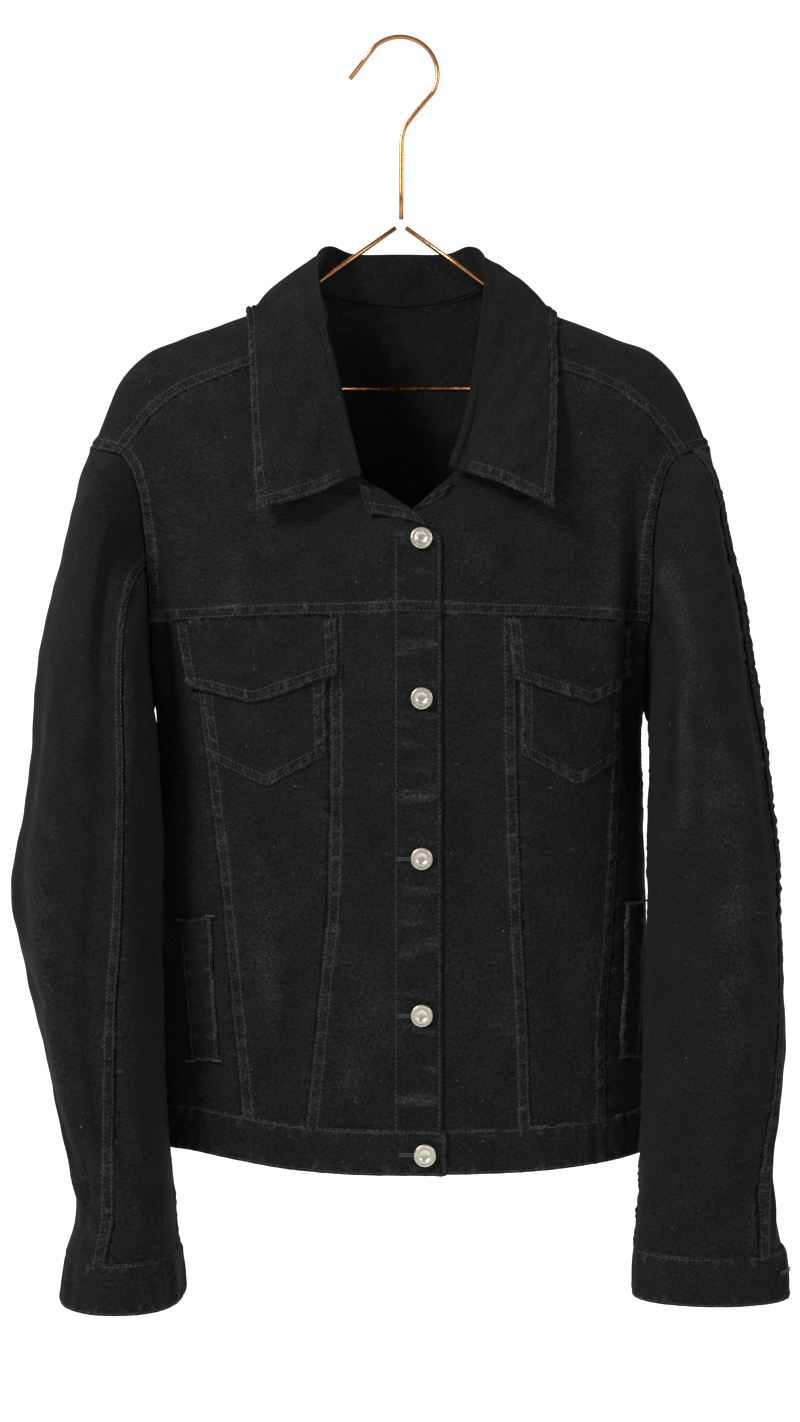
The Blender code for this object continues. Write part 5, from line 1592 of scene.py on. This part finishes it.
class Shader:
    """A material's node tree, with short calls for the nodes used here."""

    def __init__(self, name):
        self.material = bpy.data.materials.new(name)
        self.material.use_nodes = True
        self.tree = self.material.node_tree
        self.surface = self.tree.nodes["Principled BSDF"]

    def node(self, kind, vector=None, **values):
        """A new node; its inputs are set by name, with spaces as underscores."""
        made = self.tree.nodes.new("ShaderNode" + kind)
        for key, value in values.items():
            made.inputs[key.replace("_", " ")].default_value = value
        if vector is not None:
            self.tree.links.new(vector, made.inputs["Vector"])
        return made

    def join(self, source, socket):
        """A value, a colour or another node's output into a socket."""
        if isinstance(source, (int, float, tuple)):
            socket.default_value = source
        else:
            self.tree.links.new(source, socket)

    def maths(self, operation, first, second):
        """A sum or product of two values."""
        made = self.node("Math")
        made.operation = operation
        self.join(first, made.inputs[0])
        self.join(second, made.inputs[1])
        return made.outputs[0]

    def noise(self, vector, scale, detail=3.0, roughness=0.55):
        """A noise texture's value."""
        made = self.node("TexNoise", vector, Scale=scale, Detail=detail, Roughness=roughness)
        return made.outputs["Fac"]

    def mapped(self, value, low, high, to_low, to_high):
        """A value moved from one range to another, and held inside it."""
        made = self.node("MapRange", From_Min=low, From_Max=high, To_Min=to_low, To_Max=to_high)
        self.join(value, made.inputs["Value"])
        return made.outputs["Result"]

    def blended(self, share, first, second):
        """A mix of two colours."""
        made = self.node("Mix")
        made.data_type = "RGBA"
        self.join(share, made.inputs[0])
        self.join(first, made.inputs[6])
        self.join(second, made.inputs[7])
        return made.outputs[2]

    def bump(self, height, strength, distance, normal=None):
        """A bump's normal, on top of another's."""
        made = self.node("Bump", Strength=strength, Distance=distance)
        self.join(height, made.inputs["Height"])
        if normal is not None:
            self.join(normal, made.inputs["Normal"])
        return made.outputs["Normal"]

    def finish(self, **values):
        """The surface's own inputs, set by name."""
        for key, value in values.items():
            self.join(value, self.surface.inputs[key.replace("_", " ")])


def denim_material():
    """Black denim: a fine twill, worn paler along its seams, with painted highlight on the ridges of
    its creases and specks of lint.
    """
    denim = Shader("black_denim")
    cut = denim.node("UVMap")
    cut.uv_map = "Cut"
    place = cut.outputs["UV"]
    turn = denim.node("Mapping", place, Rotation=(0.0, 0.0, math.radians(-62.0)))
    twill = denim.node("TexWave", turn.outputs["Vector"], Scale=260.0, Distortion=1.6,
                       Detail=1.0, Detail_Scale=1.6).outputs["Fac"]
    stretch = denim.node("Mapping", place, Scale=(900.0, 150.0, 1.0))
    yarn = denim.noise(stretch.outputs["Vector"], 1.0, 2.0)
    mottle = denim.noise(place, 34.0, 4.0)
    patchy = denim.noise(place, 9.0, 3.0)
    fibre = denim.noise(place, 420.0, 3.0, 0.7)
    lint = denim.noise(place, 260.0, 1.0, 0.5)
    # The point attribute of real wear at seams and edges and of painted highlight on the creases'
    # ridges.
    worn = denim.node("Attribute")
    worn.attribute_name = "wear_and_highlight"
    wear_and_highlight = denim.maths("MULTIPLY", worn.outputs["Fac"], denim.mapped(fibre, 0.32, 0.66, 0.25, 1.25))
    wear_and_highlight = denim.maths("MULTIPLY", wear_and_highlight, denim.mapped(mottle, 0.30, 0.66, 0.45, 1.15))
    tone = denim.blended(denim.mapped(mottle, 0.36, 0.64, 0.0, 1.0), DENIM_DARK, DENIM_LIGHT)
    tone = denim.blended(denim.mapped(patchy, 0.35, 0.66, 0.0, 0.45), tone, DENIM_LIGHT)
    tone = denim.blended(denim.maths("MULTIPLY", twill, 0.34), tone, DENIM_YARN)
    tone = denim.blended(denim.mapped(yarn, 0.62, 0.80, 0.0, 0.35), tone, DENIM_YARN)
    # Paler where worn, and painted highlight where the creases rise.
    tone = denim.blended(denim.mapped(wear_and_highlight, 0.05, 1.0, 0.0, 0.80), tone, DENIM_WORN_AND_HIGHLIT)
    tone = denim.blended(denim.mapped(lint, 0.755, 0.80, 0.0, 0.5), tone, DENIM_LINT)
    grain = denim.node("VectorMath")
    grain.operation = "SCALE"
    denim.join(tone, grain.inputs[0])
    denim.join(denim.mapped(fibre, 0.30, 0.70, 0.30, 1.70), grain.inputs["Scale"])
    weave = denim.maths("ADD", twill, denim.maths("MULTIPLY", fibre, 1.2))
    fine = denim.bump(weave, 0.35, 0.0004)
    rumple = denim.bump(denim.noise(place, 60.0, 4.0, 0.6), 0.8, 0.0036, fine)
    denim.finish(Base_Color=grain.outputs["Vector"], Roughness=0.92, Specular_IOR_Level=0.06,
                 Sheen_Weight=0.02, Sheen_Roughness=0.45, Sheen_Tint=(0.62, 0.62, 0.64, 1.0),
                 Normal=rumple)
    return denim.material


def plain_material(name, colour, metallic, roughness, unevenness=0.0, **others):
    """A material of one colour, whose polish is uneven at a scale if one is given."""
    plain = Shader(name)
    plain.finish(Base_Color=colour, Metallic=metallic, Roughness=roughness, **others)
    if unevenness:
        place = plain.node("TexCoord").outputs["Object"]
        polish = plain.noise(place, unevenness)
        plain.finish(Roughness=plain.mapped(polish, 0.3, 0.7, roughness * 0.75, roughness * 1.3))
    return plain.material


DENIM_DARK = (0.0042, 0.0042, 0.0043, 1.0)
DENIM_LIGHT = (0.0074, 0.0074, 0.0075, 1.0)
DENIM_YARN = (0.0130, 0.0130, 0.0131, 1.0)
# Pale grey of real wear, also used as painted highlight on the creases' ridges.
DENIM_WORN_AND_HIGHLIT = (0.0400, 0.0398, 0.0392, 1.0)
DENIM_LINT = (0.0900, 0.0880, 0.0850, 1.0)

black_denim = denim_material()
for piece in DENIM:
    piece.data.materials.append(black_denim)
thread = plain_material("black_thread", (0.024, 0.024, 0.024, 1.0), 0.0, 0.62,
                        Specular_IOR_Level=0.35)
thread_mesh.data.materials.append(thread)
# Painted shadow inside the buttonholes.
shadow = plain_material("buttonhole_shadow", (0.003, 0.003, 0.003, 1.0), 0.0, 0.95)
slit_shadows.data.materials.append(shadow)
metal = plain_material("pale_metal", (0.56, 0.53, 0.44, 1.0), 1.0, 0.36, 900.0)
for piece in buttons:
    piece.data.materials.append(metal)
copper = plain_material("copper", (0.46, 0.20, 0.085, 1.0), 1.0, 0.26, 300.0)
hanger.data.materials.append(copper)


# ---------------------------------------------------------------- stage, light and camera

def make_backdrop():
    """A white wall that curves into a white floor far below."""
    wide = 9.0
    profile = [(-7.0, -1.75), (1.6, -1.75)]
    for turn in np.linspace(-90.0, 0.0, 9):
        profile.append((1.6 + 1.2 * math.cos(math.radians(turn)),
                        -0.55 + 1.2 * math.sin(math.radians(turn))))
    profile.append((2.8, 4.0))
    places = []
    faces = []
    for y, z in profile:
        places += [(-wide, y, z), (wide, y, z)]
    for row in range(len(profile) - 1):
        low = row * 2
        faces.append((low, low + 1, low + 3, low + 2))
    item = mesh_object("backdrop", places, faces)
    paper = plain_material("white_paper", (0.5, 0.5, 0.5, 1.0), 0.0, 0.9,
                           Emission_Color=(1.0, 1.0, 1.0, 1.0), Emission_Strength=0.85)
    item.data.materials.append(paper)


def area_light(name, place, target, size, power, colour):
    """A square soft light that faces a point."""
    data = bpy.data.lights.new(name, "AREA")
    data.size = size
    data.energy = power
    data.color = colour
    item = bpy.data.objects.new(name, data)
    item.location = place
    way = Vector(target) - Vector(place)
    item.rotation_euler = way.to_track_quat("-Z", "Y").to_euler()
    bpy.context.scene.collection.objects.link(item)


make_backdrop()
world = bpy.data.worlds.new("studio")
bpy.context.scene.world = world
world.use_nodes = True
sky = world.node_tree.nodes["Background"]
sky.inputs["Color"].default_value = (1.0, 1.0, 1.0, 1.0)
sky.inputs["Strength"].default_value = 0.32
area_light("key", (-1.7, -1.7, 1.2), (0.0, 0.0, -0.5), 0.7, 105.0, (1.0, 0.995, 0.985))
area_light("fill", (2.2, -1.5, 0.5), (0.0, 0.0, -0.5), 1.2, 26.0, (0.99, 0.995, 1.0))

lens = bpy.data.cameras.new("camera")
lens.lens = 43.3
lens.sensor_width = 36.0
lens.clip_start = 0.05
lens.clip_end = 60.0
camera = bpy.data.objects.new("camera", lens)
camera.location = (0.0, -1.334, -0.524)
camera.rotation_euler = (math.radians(90.0), 0.0, 0.0)
bpy.context.scene.collection.objects.link(camera)
bpy.context.scene.camera = camera
bpy.context.scene.view_settings.view_transform = "Standard"
bpy.context.scene.view_settings.look = "None"

bpy.context.view_layer.update()
for line in FLAT_SIZES:
    print("flat", *line)
